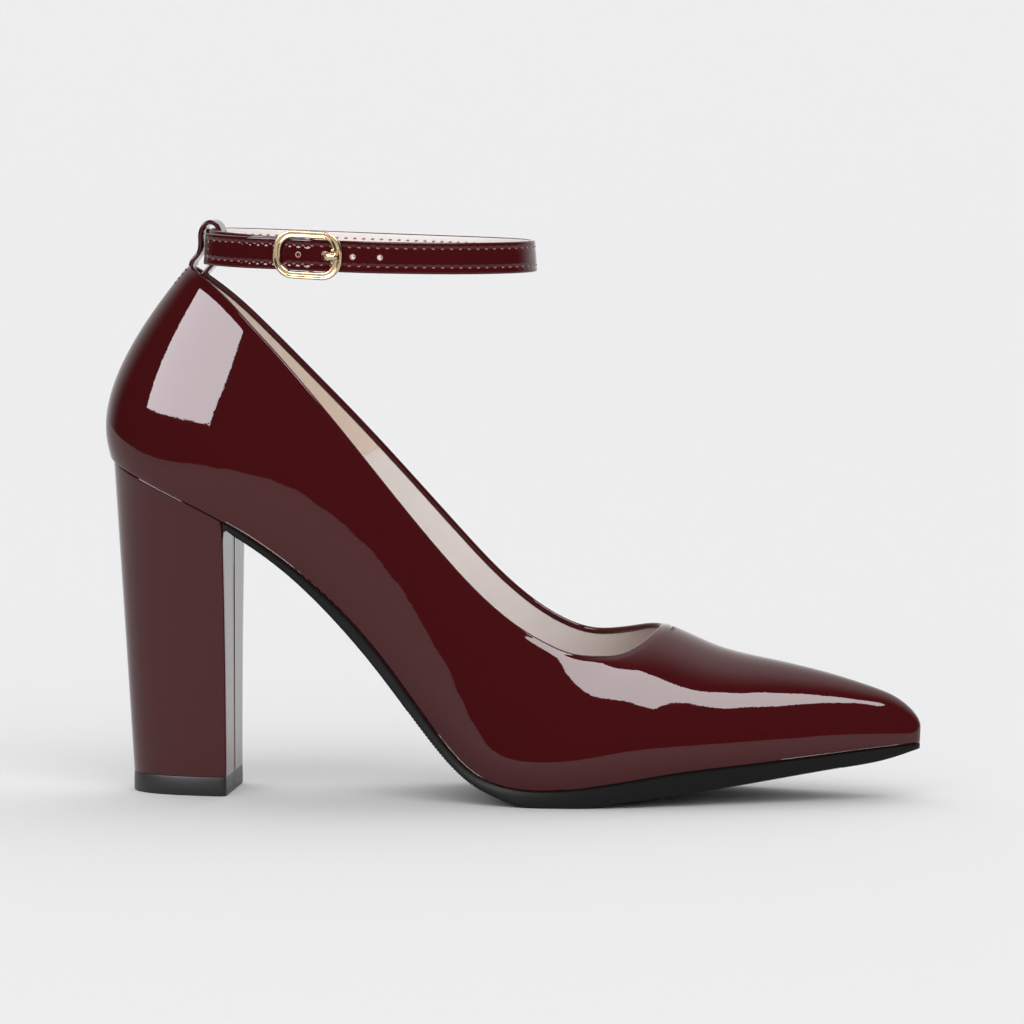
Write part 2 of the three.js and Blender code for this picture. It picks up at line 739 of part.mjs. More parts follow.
function prongGeometry() {
  const arm = sweep(prongPath(), new THREE.Vector3(0, 1, 0), roundSection(PRONG_THICKNESS, 8));
  const eye = toSolid(bar(2 * FOLD_RADIUS, PRONG_THICKNESS)).add(toSolid(arm));
  return toGeometry(eye.subtract(toSolid(bar(2 * PRONG_RING, STRAP_WIDTH))));
}

function strapGeometry() {
  const section = strapSection(STRAP_THICKNESS, STRAP_WIDTH, STRAP_BEVEL);
  const band = toSolid(sweep(strapPath(), new THREE.Vector3(0, 0, 1), section));
  const place = (geometry) => toSolid(geometry.applyMatrix4(buckleMatrix()));
  const fold = place(bar(2 * FOLD_RADIUS, STRAP_WIDTH));
  const barRoom = place(bar(2 * PRONG_RING, 2 * STRAP_WIDTH));
  const slotLength = 2 * (FOLD_RADIUS + GAP);
  const slot = place(new THREE.BoxGeometry(slotLength, PRONG_THICKNESS + 2 * GAP, slotLength));
  const roomSection = roundSection(PRONG_THICKNESS + 2 * GAP, 8);
  const prongRoom = place(sweep(prongPath(), new THREE.Vector3(0, 1, 0), roomSection));
  return toGeometry(band.add(fold).subtract(barRoom).subtract(slot).subtract(prongRoom));
}

// Back loop: a strip from the rim over the strap and down inside the collar
function loopGeometry() {
  const half = LOOP_THICKNESS / 2;
  const top = wallTop(0, INNER_SIDE);
  const rim = lastPoint(0, top, INNER_SIDE);
  const outerLeg = LOOP_X - LOOP_OPEN / 2 - half;
  const innerLeg = LOOP_X + LOOP_OPEN / 2 + half;
  const strapTop = ringHeight(RING_BACK_X) + STRAP_WIDTH / 2;
  const crown = strapTop + LOOP_HEADROOM + half;
  const clear = LOOP_SEAT_CLEAR + GAP + half;
  const inside = [1, 0.955, 0.91].map((share) => {
    const normal = lastNormal(0, top * share, INNER_SIDE);
    return liningPoint(0, top * share, INNER_SIDE).addScaledVector(normal, -clear);
  });
  const place = (across, z) => new THREE.Vector3(mix(outerLeg, innerLeg, across), 0, z);
  const height = (share) => mix(rim.z, crown, share);
  const path = smoothPath([
    new THREE.Vector3(mix(rim.x, outerLeg, 0.35), 0, rim.z + GAP),
    new THREE.Vector3(mix(rim.x, outerLeg, 0.78), 0, height(0.25)),
    place(0, height(0.5)),
    place(0, strapTop + GAP),
    place(0.14, mix(strapTop, crown, 0.7)),
    place(0.5, crown),
    place(0.86, mix(strapTop, crown, 0.7)),
    place(1, height(0.6)),
    place(0.88, height(0.20)),
    place(0.55, height(-0.04)),
    ...inside,
  ], LOOP_STEPS);
  const section = strapSection(LOOP_THICKNESS, LOOP_WIDTH, LOOP_BEVEL);
  return sweep(path, new THREE.Vector3(0, -1, 0), section);
}

const patent = new THREE.MeshStandardMaterial({ color: 0x4f1216, roughness: 0.12 });
const coveredHeel = new THREE.MeshStandardMaterial({ color: 0x4f1216, roughness: 0.15 });
const sock = new THREE.MeshStandardMaterial({ color: 0xd9c8bd, roughness: 0.7 });
const rubber = new THREE.MeshStandardMaterial({ color: 0x1b1c1c, roughness: 0.55 });
const gold = new THREE.MeshStandardMaterial({ color: 0xd8b67a, roughness: 0.2, metalness: 1 });

const shoe = new THREE.Group();

function addPiece(name, geometry, material) {
  const mesh = new THREE.Mesh(geometry, material);
  mesh.name = name;
  shoe.add(mesh);
  return mesh;
}

addPiece('upper', upperGeometry(), patent);
addPiece('insole', insoleGeometry(), sock);
addPiece('outsole', outsoleGeometry(), rubber);
addPiece('heel', heelGeometry(), coveredHeel);
addPiece('heel_tip', heelTipGeometry(), rubber);
addPiece('ankle_strap', strapGeometry(), patent);
addPiece('back_loop', loopGeometry(), patent);
[
  addPiece('buckle_frame', buckleFrameGeometry(), gold),
  addPiece('buckle_prong', prongGeometry(), gold),
].forEach((mesh) => mesh.applyMatrix4(buckleMatrix()));

export default shoe;
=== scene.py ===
import bmesh
import bpy
import numpy as np
from mathutils import Matrix, Vector


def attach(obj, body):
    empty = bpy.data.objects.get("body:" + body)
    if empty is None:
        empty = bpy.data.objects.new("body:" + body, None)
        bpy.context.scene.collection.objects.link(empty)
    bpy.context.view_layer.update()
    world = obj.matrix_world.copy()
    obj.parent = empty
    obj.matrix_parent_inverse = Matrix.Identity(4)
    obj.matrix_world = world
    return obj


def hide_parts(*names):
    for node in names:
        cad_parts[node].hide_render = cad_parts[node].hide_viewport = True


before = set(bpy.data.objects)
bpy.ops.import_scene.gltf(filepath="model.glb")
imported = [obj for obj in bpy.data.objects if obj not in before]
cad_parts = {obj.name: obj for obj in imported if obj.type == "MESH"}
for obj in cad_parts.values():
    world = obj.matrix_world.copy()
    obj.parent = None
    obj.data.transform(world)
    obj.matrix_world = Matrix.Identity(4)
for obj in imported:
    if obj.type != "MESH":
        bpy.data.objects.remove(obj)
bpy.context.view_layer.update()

# Upper
# One shell of patent leather, pulled over the last and turned under it all round. Its topline
# is folded over the edge and down inside, where the lining is stitched to it. A pump's shell
# has no seam on this side, so everything that shows is the last's own curve.
# Sizes are in millimetres here and below. LEATHER is the shell's share of the lined wall, and
# TURNED_BAND is how far its folded topline reaches down inside.
MM = 0.001
FEATHER_LENGTH, FEATHER_WIDTH, FEATHER_BACK_X = 226, 70, -21.4
SEAT_HEIGHT, TOE_SPRING, CONE_HEIGHT = 93.3, 11.1, 74
BACK_ROUND, TOE_ROUND, TOE_WALL, COUNTER_BULGE = 46, 13, 4, 14
THROAT_LENGTH, THROAT_ROUND = 139.6, {-1: 16, 1: 26}
SOLE_THICKNESS, GAP, WALL = 4.4, 0.3, 1.8
LEATHER = 1.05
TURNED_BAND = 1.5
OUTER, INNER = -1, 1


def natural_spline(places, values):
    places, values = np.array(places, float), np.array(values, float)
    gaps = np.diff(places)
    system, load = np.eye(len(places)), np.zeros(len(places))
    for i in range(1, len(places) - 1):
        system[i, i - 1:i + 2] = gaps[i - 1], 2 * (gaps[i - 1] + gaps[i]), gaps[i]
        slopes = (values[i + 1] - values[i]) / gaps[i], (values[i] - values[i - 1]) / gaps[i - 1]
        load[i] = 6 * (slopes[0] - slopes[1])
    bend = np.linalg.solve(system, load)

    def curve(place):
        at = np.clip(place, places[0], places[-1])
        i = np.clip(np.searchsorted(places, at) - 1, 0, len(gaps) - 1)
        back = (places[i + 1] - at) / gaps[i]
        front = 1 - back
        swing = (back ** 3 - back) * bend[i] + (front ** 3 - front) * bend[i + 1]
        return back * values[i] + front * values[i + 1] + swing * gaps[i] ** 2 / 6
    return curve


def smooth_table(columns, rows):
    curves = {
        name: natural_spline([row[0] for row in rows], [row[k + 1] for row in rows])
        for k, name in enumerate(columns.split()[1:])
    }
    return lambda place: {name: curve(place) for name, curve in curves.items()}


last = smooth_table("along seat spring lean tall outer inner low side high crest", [
    (0.000, 1.000, 0.00, 0.523, 1.000, 0.336, 0.336, 1.16, 1.18, 0.92, 0.55),
    (0.053, 0.939, 0.00, 0.502, 1.000, 0.340, 0.340, 1.16, 1.20, 0.92, 0.55),
    (0.153, 0.818, 0.00, 0.446, 0.973, 0.347, 0.340, 1.14, 1.22, 0.92, 0.55),
    (0.223, 0.703, 0.00, 0.486, 0.892, 0.340, 0.314, 1.14, 1.26, 0.98, 0.58),
    (0.292, 0.554, 0.00, 0.514, 0.811, 0.333, 0.293, 1.14, 1.32, 1.06, 0.60),
    (0.354, 0.376, 0.00, 0.514, 0.757, 0.346, 0.300, 1.13, 1.34, 1.10, 0.60),
    (0.409, 0.191, 0.00, 0.486, 0.730, 0.379, 0.343, 1.12, 1.30, 1.08, 0.60),
    (0.456, 0.060, 0.00, 0.419, 0.724, 0.421, 0.400, 1.12, 1.24, 1.02, 0.58),
    (0.502, 0.008, 0.00, 0.342, 0.676, 0.471, 0.457, 1.10, 1.18, 0.98, 0.56),
    (0.558, 0.000, 0.00, 0.264, 0.608, 0.500, 0.500, 1.08, 1.14, 0.95, 0.54),
    (0.624, 0.000, 0.15, 0.189, 0.561, 0.486, 0.507, 1.07, 1.12, 0.94, 0.53),
    (0.708, 0.000, 0.41, 0.122, 0.446, 0.407, 0.450, 1.07, 1.12, 0.95, 0.53),
    (0.796, 0.000, 0.59, 0.074, 0.365, 0.300, 0.357, 1.08, 1.13, 0.97, 0.55),
    (0.885, 0.000, 0.77, 0.041, 0.281, 0.189, 0.246, 1.09, 1.15, 1.00, 0.58),
    (0.956, 0.000, 0.92, 0.014, 0.196, 0.106, 0.163, 1.10, 1.16, 1.02, 0.60),
    (1.000, 0.000, 1.00, 0.005, 0.135, 0.066, 0.114, 1.10, 1.16, 1.02, 0.60),
])
topline = smooth_table("along outer inner", [
    (0.000, 0.672, 0.672), (0.081, 0.640, 0.630), (0.146, 0.608, 0.595), (0.210, 0.581, 0.566),
    (0.275, 0.554, 0.543), (0.340, 0.528, 0.526), (0.405, 0.506, 0.514), (0.470, 0.493, 0.510),
    (0.534, 0.494, 0.517), (0.607, 0.518, 0.543), (0.680, 0.571, 0.597), (0.745, 0.627, 0.658),
    (0.821, 0.680, 0.732), (0.889, 0.731, 0.823), (0.955, 0.761, 0.896), (1.000, 0.775, 0.930),
])
GUIDES = [(1, 0, 0), (5, 0.08, 0.32), (10, 0.30, 1.48), (10, 0.64, 0.72), (5, 1, -0.11), (1, 1, -0.19)]


def unit(vectors):
    return vectors / np.linalg.norm(vectors, axis=-1, keepdims=True)


def vectors(x, y, z):
    return np.stack(np.broadcast_arrays(x, y, z), -1).astype(float)


def mix(start, end, share):
    return start + (end - start) * share


def smooth_step(share):
    held = np.clip(share, 0, 1)
    return held * held * (3 - 2 * held)


def rounding(share):
    return np.sqrt(1 - (1 - np.clip(share, 0, 1)) ** 3)


# Point of the last at a distance along its feather edge, a share of its wall and a side
def last_point(along, up, side):
    along, up = np.broadcast_arrays(np.asarray(along, float), np.asarray(up, float))
    row = last(along / FEATHER_LENGTH)
    toe = rounding((FEATHER_LENGTH - along) / TOE_ROUND)
    full = row["tall"] * CONE_HEIGHT
    height = TOE_WALL + (full - TOE_WALL) * toe
    half = row["outer" if side < 0 else "inner"] * FEATHER_WIDTH * rounding(along / BACK_ROUND) * toe
    bulge = COUNTER_BULGE * np.maximum(1 - along / BACK_ROUND, 0) ** 3
    lean = row["lean"] * CONE_HEIGHT * height / full
    base = SOLE_THICKNESS + GAP
    rise = base + row["seat"] * (SEAT_HEIGHT - base) + row["spring"] * TOE_SPRING
    point = vectors(FEATHER_BACK_X + along, 0, rise)
    for k, (weight, level, back) in enumerate(GUIDES):
        out = (1, row["low"], row["side"], row["high"], row["crest"], 0)[k]
        pull = weight * up ** k * (1 - up) ** (5 - k)
        point += pull[..., None] * vectors(lean * level - bulge * back, side * half * out, height * level)
    return point


def side_normal(along, up, side, step=0.02):
    along = np.clip(along, step, FEATHER_LENGTH - step)
    up = np.clip(up, step, 1 - step)
    forward = last_point(along + step, up, side) - last_point(along - step, up, side)
    upward = last_point(along, up + step, side) - last_point(along, up - step, side)
    return unit(np.cross(upward, forward) * side)


def last_normal(along, up, side):
    along, up = np.broadcast_arrays(np.asarray(along, float), np.asarray(up, float))
    shared = side_normal(along, up, OUTER) + side_normal(along, up, INNER)
    shared[..., 1] = 0
    middle = (along <= 0) | (along >= FEATHER_LENGTH) | (up >= 1)
    return np.where(middle[..., None], unit(shared), side_normal(along, up, side))


def feather_normal(along, side):
    row = last(np.asarray(along, float) / FEATHER_LENGTH)
    upright = unit(vectors(row["lean"], 0, row["tall"]))
    normal = last_normal(along, 0, side)
    return unit(normal - upright * (normal * upright).sum(-1, keepdims=True))


def wall_top(along, side):
    cover = topline(along / THROAT_LENGTH)["outer" if side < 0 else "inner"]
    return 1 - (1 - cover) * rounding((THROAT_LENGTH - along) / THROAT_ROUND[side])


# Places along the topline, from the back to the throat's tip: the square root of the share of
# BACK_ROUND, so that steps are short where the back is round, and short again at the tip
COLLAR_STEPS, TIP_STEPS, TIP_REACH = 84, 26, 20
tip_start = THROAT_LENGTH - TIP_REACH
collar = BACK_ROUND * np.linspace(0, np.sqrt(tip_start / BACK_ROUND), COLLAR_STEPS, endpoint=False) ** 2
tip = THROAT_LENGTH - TIP_REACH * np.linspace(1, 0, TIP_STEPS + 1) ** 2
rim_along = np.concatenate([collar, tip])


# How far the surface parameters move for a step of some millimetres square to the topline
def edge_steps():
    loop_along = np.concatenate([rim_along, rim_along[-2:0:-1]])
    loop_side = np.concatenate([np.full(len(rim_along), OUTER), np.full(len(rim_along) - 2, INNER)])
    loop_up = np.where(loop_side < 0, wall_top(loop_along, OUTER), wall_top(loop_along, INNER))
    loop_up[len(rim_along) - 1] = 1

    def on_side(function, *values):
        picked = [function(*values, side) for side in (OUTER, INNER)]
        return np.where((loop_side < 0)[:, None], *picked)
    points = on_side(last_point, loop_along, loop_up)
    normals = on_side(last_normal, loop_along, loop_up)
    tangents = unit(np.roll(points, -1, 0) - np.roll(points, 1, 0))
    inward = unit(np.cross(tangents, normals))
    root = np.sqrt(loop_along / BACK_ROUND)
    step = 0.004
    low_root = np.maximum(root - step, 0)
    by_root = on_side(last_point, BACK_ROUND * (root + step) ** 2, loop_up)
    by_root -= on_side(last_point, BACK_ROUND * low_root ** 2, loop_up)
    by_root /= (root + step - low_root)[:, None]
    by_up = (points - on_side(last_point, loop_along, loop_up - step)) / step
    moves = np.zeros((len(root), 2))
    for k in range(len(root)):
        moves[k] = np.linalg.lstsq(np.stack([by_root[k], by_up[k]], 1), inward[k], rcond=None)[0]
    moves[0, 0] = 0
    moves[len(rim_along) - 1, 1] = 0
    return root, loop_up, moves


def by_side(loop_values, side):
    count = len(rim_along)
    if side < 0:
        return loop_values[:count]
    return np.concatenate([loop_values[:1], loop_values[:count - 2:-1]])


rim_root, rim_up, rim_moves = edge_steps()


# Surface parameters at a depth below the topline
def below_rim(depth, side):
    root = by_side(rim_root, side) + depth * by_side(rim_moves, side)[:, 0]
    up = by_side(rim_up, side) + depth * by_side(rim_moves, side)[:, 1]
    return BACK_ROUND * np.maximum(root, 0) ** 2, np.minimum(up, 1)


def shell_point(along, up, side, depth):
    return last_point(along, up, side) - last_normal(along, up, side) * np.asarray(depth)[..., None]


# Rows of surface parameters from the feather edge to a line below the topline, and over the vamp.
# With a slant the rows lean, most at the grip's seam.
VAMP_STEPS, TOE_STEPS, GRIP_LENGTH = 40, 22, 55


def wall_rows(side, depth, shares, slant=0):
    top_along, top_up = below_rim(depth, side)
    toe_start = FEATHER_LENGTH - TOE_ROUND
    vamp = np.concatenate([
        np.linspace(THROAT_LENGTH, toe_start, VAMP_STEPS, endpoint=False)[1:],
        FEATHER_LENGTH - TOE_ROUND * np.linspace(1, 0, TOE_STEPS) ** 2,
    ])
    reach = top_along[-1]
    vamp_top = reach + (FEATHER_LENGTH - reach) * (vamp - THROAT_LENGTH) / (FEATHER_LENGTH - THROAT_LENGTH)
    base = np.concatenate([collar, np.linspace(tip_start, THROAT_LENGTH, TIP_STEPS + 1), vamp])
    base = base - slant * np.sin(np.pi * np.clip(base / (2 * GRIP_LENGTH), 0, 1)) ** 2
    top = np.concatenate([top_along, vamp_top])
    up = np.concatenate([top_up, np.ones(len(vamp))])
    return base[:, None] + (top - base)[:, None] * shares, up[:, None] * shares


# Joins grids of points into one closed mesh; each grid is rows by columns by x, y and z
def joined_grids(grids):
    points, faces, start = [], [], 0
    for grid in grids:
        rows, columns = grid.shape[:2]
        a, b = np.meshgrid(np.arange(rows - 1), np.arange(columns - 1), indexing="ij")
        corner = start + a * columns + b
        around = np.stack([corner, corner + 1, corner + columns + 1, corner + columns], -1)
        faces.append(around.reshape(-1, 4))
        points.append(grid.reshape(-1, 3))
        start += rows * columns
    return np.concatenate(points), np.concatenate(faces).tolist()


def add_piece(name, points, faces, material, replaced=(), crease=None):
    mesh = bpy.data.meshes.new(name)
    mesh.from_pydata((np.asarray(points) * MM).tolist(), [], [list(face) for face in faces])
    work = bmesh.new()
    work.from_mesh(mesh)
    bmesh.ops.remove_doubles(work, verts=work.verts, dist=1e-6)
    bmesh.ops.dissolve_degenerate(work, edges=work.edges, dist=1e-7)
    bmesh.ops.recalc_face_normals(work, faces=work.faces)
    work.to_mesh(mesh)
    work.free()
    mesh.shade_smooth()
    if crease:
        mesh.set_sharp_from_angle(angle=np.radians(crease))
    piece = bpy.data.objects.new(name, mesh)
    bpy.context.scene.collection.objects.link(piece)
    mesh.materials.append(material)
    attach(piece, "root")
    if replaced:
        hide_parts(*replaced)
    return piece


def hex_color(code):
    values = [int(code[k:k + 2], 16) / 255 for k in (1, 3, 5)]
    return [v / 12.92 if v <= 0.04045 else ((v + 0.055) / 1.055) ** 2.4 for v in values] + [1]


def new_material(name):
    material = bpy.data.materials.new(name)
    material.use_nodes = True
    tree = material.node_tree
    return material, tree, tree.nodes["Principled BSDF"]


# One node with its settings; a value that is a socket is linked
def add_node(tree, kind, **settings):
    node = tree.nodes.new(kind)
    for name, value in settings.items():
        socket = node.inputs.get(name.replace("_", " ")) if not hasattr(node, name) else None
        if socket is None:
            setattr(node, name, value)
        elif isinstance(value, bpy.types.NodeSocket):
            tree.links.new(value, socket)
        else:
            socket.default_value = value
    return node


# Patent leather: a film of polyurethane cast smooth on split leather. It gives a mirror gloss
# over a deep colour, and the leather under it makes the mirror swim a little.
GRAIN_SIZE, GRAIN_DEPTH, SWIM_SIZE, SWIM_DEPTH = 1.6, 0.006, 14, 0.10


def patent_leather(name, colour, swim=1.0):
    material, tree, shader = new_material(name)
    place = add_node(tree, "ShaderNodeTexCoord").outputs["Object"]
    fine = add_node(tree, "ShaderNodeTexNoise", Vector=place, Scale=1 / (GRAIN_SIZE * MM), Detail=3)
    broad = add_node(tree, "ShaderNodeTexNoise", Vector=place, Scale=1 / (SWIM_SIZE * MM), Detail=1)
    ripple = add_node(tree, "ShaderNodeBump", Height=fine.outputs["Fac"], Strength=1,
                      Distance=GRAIN_DEPTH * MM * swim)
    wave = add_node(tree, "ShaderNodeBump", Height=broad.outputs["Fac"], Strength=1,
                    Distance=SWIM_DEPTH * MM * swim, Normal=ripple.outputs["Normal"])
    shader.inputs["Base Color"].default_value = hex_color(colour)
    shader.inputs["Roughness"].default_value = 0.5
    shader.inputs["Specular IOR Level"].default_value = 0
    shader.inputs["Coat Weight"].default_value = 1
    shader.inputs["Coat Roughness"].default_value = 0.025
    shader.inputs["Coat IOR"].default_value = 1.42
    for socket in ("Normal", "Coat Normal"):
        tree.links.new(wave.outputs["Normal"], shader.inputs[socket])
    return material


BURGUNDY = "#410e11"
patent = patent_leather("burgundy_patent_leather", BURGUNDY)


# The topline rolls in over its fold: how far its outside sinks at some depths below the rim
ROLL_START, FOLD_HALF = 3.2, 0.77
EDGE_ROLL = [
    (ROLL_START, 0), (2.6, 0.01), (2.2, 0.04), (1.8, 0.10), (1.4, 0.17), (1.0, 0.24), (FOLD_HALF, 0.26),
]
# The turn under the foot is softer along the waist, where neither heel nor tread meets it
WAIST_FROM, WAIST_TO, TURN_ENDS, TURN_WAIST = 30, 150, 0.35, 0.9


# Grids of one side of the shell: outside, inside, the turned-under foot and the folded topline
def shell_grids(side):
    shares = np.linspace(0, 1, 40)
    along, up = wall_rows(side, ROLL_START, shares)
    wall = last_point(along, up, side)
    foot = wall[:, 0]
    foot_out = feather_normal(along[:, 0], side)
    climb = unit(wall[:, 1] - foot)
    waist = smooth_step((WAIST_TO - along[:, :1]) / 40) * smooth_step((along[:, :1] - WAIST_FROM) / 12)
    turn = mix(TURN_ENDS, TURN_WAIST, waist)
    start = foot + climb * turn
    under = foot - foot_out * turn
    inside = shell_point(along, up, side, np.full(along.shape, LEATHER))
    inside[:, 0] = foot - foot_out * LEATHER
    bend = np.linspace(0, 1, 6)[None, :, None]
    fold = (1 - bend) ** 2 * start[:, None] + 2 * bend * (1 - bend) * foot[:, None]
    fold = fold + bend ** 2 * under[:, None]
    wall[:, 0] = start
    bottom = np.concatenate([fold, inside[:, :1]], 1)
    columns = [shell_point(*below_rim(depth, side), side, sunk) for depth, sunk in EDGE_ROLL]
    seat_along, seat_up = below_rim(FOLD_HALF, side)
    seat = last_point(seat_along, seat_up, side)
    normal = last_normal(seat_along, seat_up, side)
    over = unit(last_point(*below_rim(0, side), side) - last_point(*below_rim(FOLD_HALF * 2, side), side))
    centre = seat - normal * (WALL - FOLD_HALF)
    for turn in np.linspace(0, np.pi, 11)[1:]:
        columns.append(centre + FOLD_HALF * (np.cos(turn) * normal + np.sin(turn) * over))
    for depth in (1.0, 1.25, TURNED_BAND):
        columns.append(shell_point(*below_rim(depth, side), side, WALL))
    columns.append(shell_point(*below_rim(TURNED_BAND + 0.1, side), side, (WALL + LEATHER) / 2))
    columns.append(inside[:len(rim_along), -1])
    return [wall, inside, bottom, np.stack(columns, 1)]


points, faces = joined_grids(shell_grids(OUTER) + shell_grids(INNER))
add_piece("upper_leather", points, faces, patent, ["upper"])


# Quarter lining and heel grip
# Thin linings glued inside the shell, up to the edge of its folded topline. The grip is soft
# microfibre that holds the wearer's heel; its front edges are stitched over the quarter lining.
LINING_CLEAR, LINING_TOP = 0.03, TURNED_BAND + 0.12
GRIP_SLANT, GRIP_PROUD = 21, 0.25
seam_row = int(np.argmin(np.abs(rim_along - GRIP_LENGTH)))


def lining_point(along, up, side, depth):
    above = smooth_step(up / 0.15)[..., None]
    normal = mix(feather_normal(along, side), last_normal(along, up, side), above)
    return last_point(along, up, side) - unit(normal) * depth


# Closed skin between the shell and the lining's own face, over some of the rows of one side
def lining_grids(side, rows, face_depth):
    shares = np.concatenate([np.linspace(0, 0.97, 32), [0.985, 0.994, 1]])
    along, up = wall_rows(side, LINING_TOP, shares, GRIP_SLANT)
    along, up = along[rows], up[rows]
    back = lining_point(along, up, side, LEATHER + LINING_CLEAR)
    face = lining_point(along, up, side, face_depth)
    grids = [back, face, np.stack([back[:, 0], face[:, 0]], 1), np.stack([back[:, -1], face[:, -1]], 1)]
    for end in (0, -1):
        grids.append(np.stack([back[end], face[end]], 1))
    return grids


# Lining of brushed microfibre or embossed pigskin-grain synthetic. It gives a matte, soft face with
# faint clouds of two tones, quiet beside the mirror of the patent.
def soft_lining(name, colour, grain, cloudy):
    material, tree, shader = new_material(name)
    place = add_node(tree, "ShaderNodeTexCoord").outputs["Object"]
    fine = add_node(tree, "ShaderNodeTexNoise", Vector=place, Scale=1 / (grain * MM), Detail=4)
    cloud = add_node(tree, "ShaderNodeTexNoise", Vector=place, Scale=1 / (9 * MM), Detail=2)
    tones = add_node(tree, "ShaderNodeMixRGB", Fac=cloud.outputs["Fac"],
                     Color1=hex_color(colour), Color2=hex_color(cloudy))
    nap = add_node(tree, "ShaderNodeBump", Height=fine.outputs["Fac"], Strength=0.6, Distance=0.05 * MM)
    tree.links.new(tones.outputs["Color"], shader.inputs["Base Color"])
    tree.links.new(nap.outputs["Normal"], shader.inputs["Normal"])
    shader.inputs["Roughness"].default_value = 0.62
    shader.inputs["Sheen Weight"].default_value = 0.15
    return material


grip_leather = soft_lining("heel_grip_microfibre", "#efdfd1", 0.5, "#e5d4c4")
quarter_leather = soft_lining("quarter_lining_leather", "#f4efed", 0.8, "#eae4e1")
for name, material, rows, depth in (
        ("heel_grip", grip_leather, slice(0, seam_row + 1), WALL + GRIP_PROUD),
        ("quarter_lining", quarter_leather, slice(seam_row, None), WALL)):
    points, faces = joined_grids(lining_grids(OUTER, rows, depth) + lining_grids(INNER, rows, depth))
    add_piece(name, points, faces, material, crease=50)

# Insole sock
# A padded sock of the lining's material over the insole board, cut to the bottom of the last.
# It is cupped a little towards its edges, where it meets the linings.
INSOLE_THICKNESS, SOCK_CLEAR, SOCK_CUP, CUP_WIDTH = 2, 0.28, 0.5, 30


def sock_grids():
    across = np.linspace(0, 1, 25)
    along = wall_rows(OUTER, LINING_TOP, np.array([0.0]))[0][:, 0]
    edges = [last_point(along, 0, side) - feather_normal(along, side) * (WALL + SOCK_CLEAR)
             for side in (OUTER, INNER)]
    row = last(along / FEATHER_LENGTH)
    upright = unit(vectors(row["lean"], 0, row["tall"]))[:, None]
    bottom = mix(edges[0][:, None], edges[1][:, None], across[None, :, None])
    wide = np.linalg.norm(edges[1] - edges[0], axis=-1)[:, None]
    cup = SOCK_CUP * np.abs(2 * across - 1) ** 4 * np.minimum(wide / CUP_WIDTH, 1)
    top = bottom + upright * (INSOLE_THICKNESS + cup)[..., None]
    return [bottom, top] + [np.stack([bottom[:, end], top[:, end]], 1) for end in (0, -1)] + [
        np.stack([bottom[end], top[end]], 1) for end in (0, -1)]


sock_leather = soft_lining("sock_leather", "#c9b0a2", 0.9, "#bda394")
points, faces = joined_grids(sock_grids())
add_piece("insole_sock", points, faces, sock_leather, ["insole"], crease=50)

# Outsole
# A thin unit of black thermoplastic rubber from the heel breast to the toe, moulded with a satin
# edge and fine ribs across its tread, and glued under the turned edge of the shell.
BREAST_X = 13
BREAST = BREAST_X - FEATHER_BACK_X
SOLE_CAMBER, SOLE_INSET, SOLE_EDGE_ROUND, SOLE_EDGE_SWELL = 1.2, 0.5, 0.7, 0.2
SOLE_TIP_SHARE, SOLE_CLEAR, SOLE_TUCK = 0.3, 0.04, 0.2
RIB_PITCH, RIB_DEPTH, RIBS_FROM, RIBS_TO = 0.64, 0.16, 88, 205
sole_table = smooth_table("along thick camber", [
    (0.150, 0.40, 0.60), (0.230, 0.45, 1.00), (0.300, 0.65, 0.95), (0.345, 0.67, 0.80),
    (0.400, 0.60, 0.40), (0.456, 0.56, 0.10), (0.480, 0.62, 0.00), (0.502, 0.76, 0.00),
    (0.525, 1.00, 0.00), (0.560, 1.08, 0.00), (0.600, 1.21, 0.00), (0.650, 1.29, 0.00),
    (0.700, 1.36, 0.00), (0.800, 1.20, 0.00), (0.900, 0.95, 0.00), (0.960, 0.76, 0.00),
    (1.000, 0.34, 0.00),
])


def bottom_normal(along, step=0.5):
    back = last_point(np.maximum(along - step, 0), 0, INNER)
    front = last_point(np.minimum(along + step, FEATHER_LENGTH), 0, INNER)
    run = front - back
    return unit(vectors(-run[..., 2], 0, run[..., 0]))


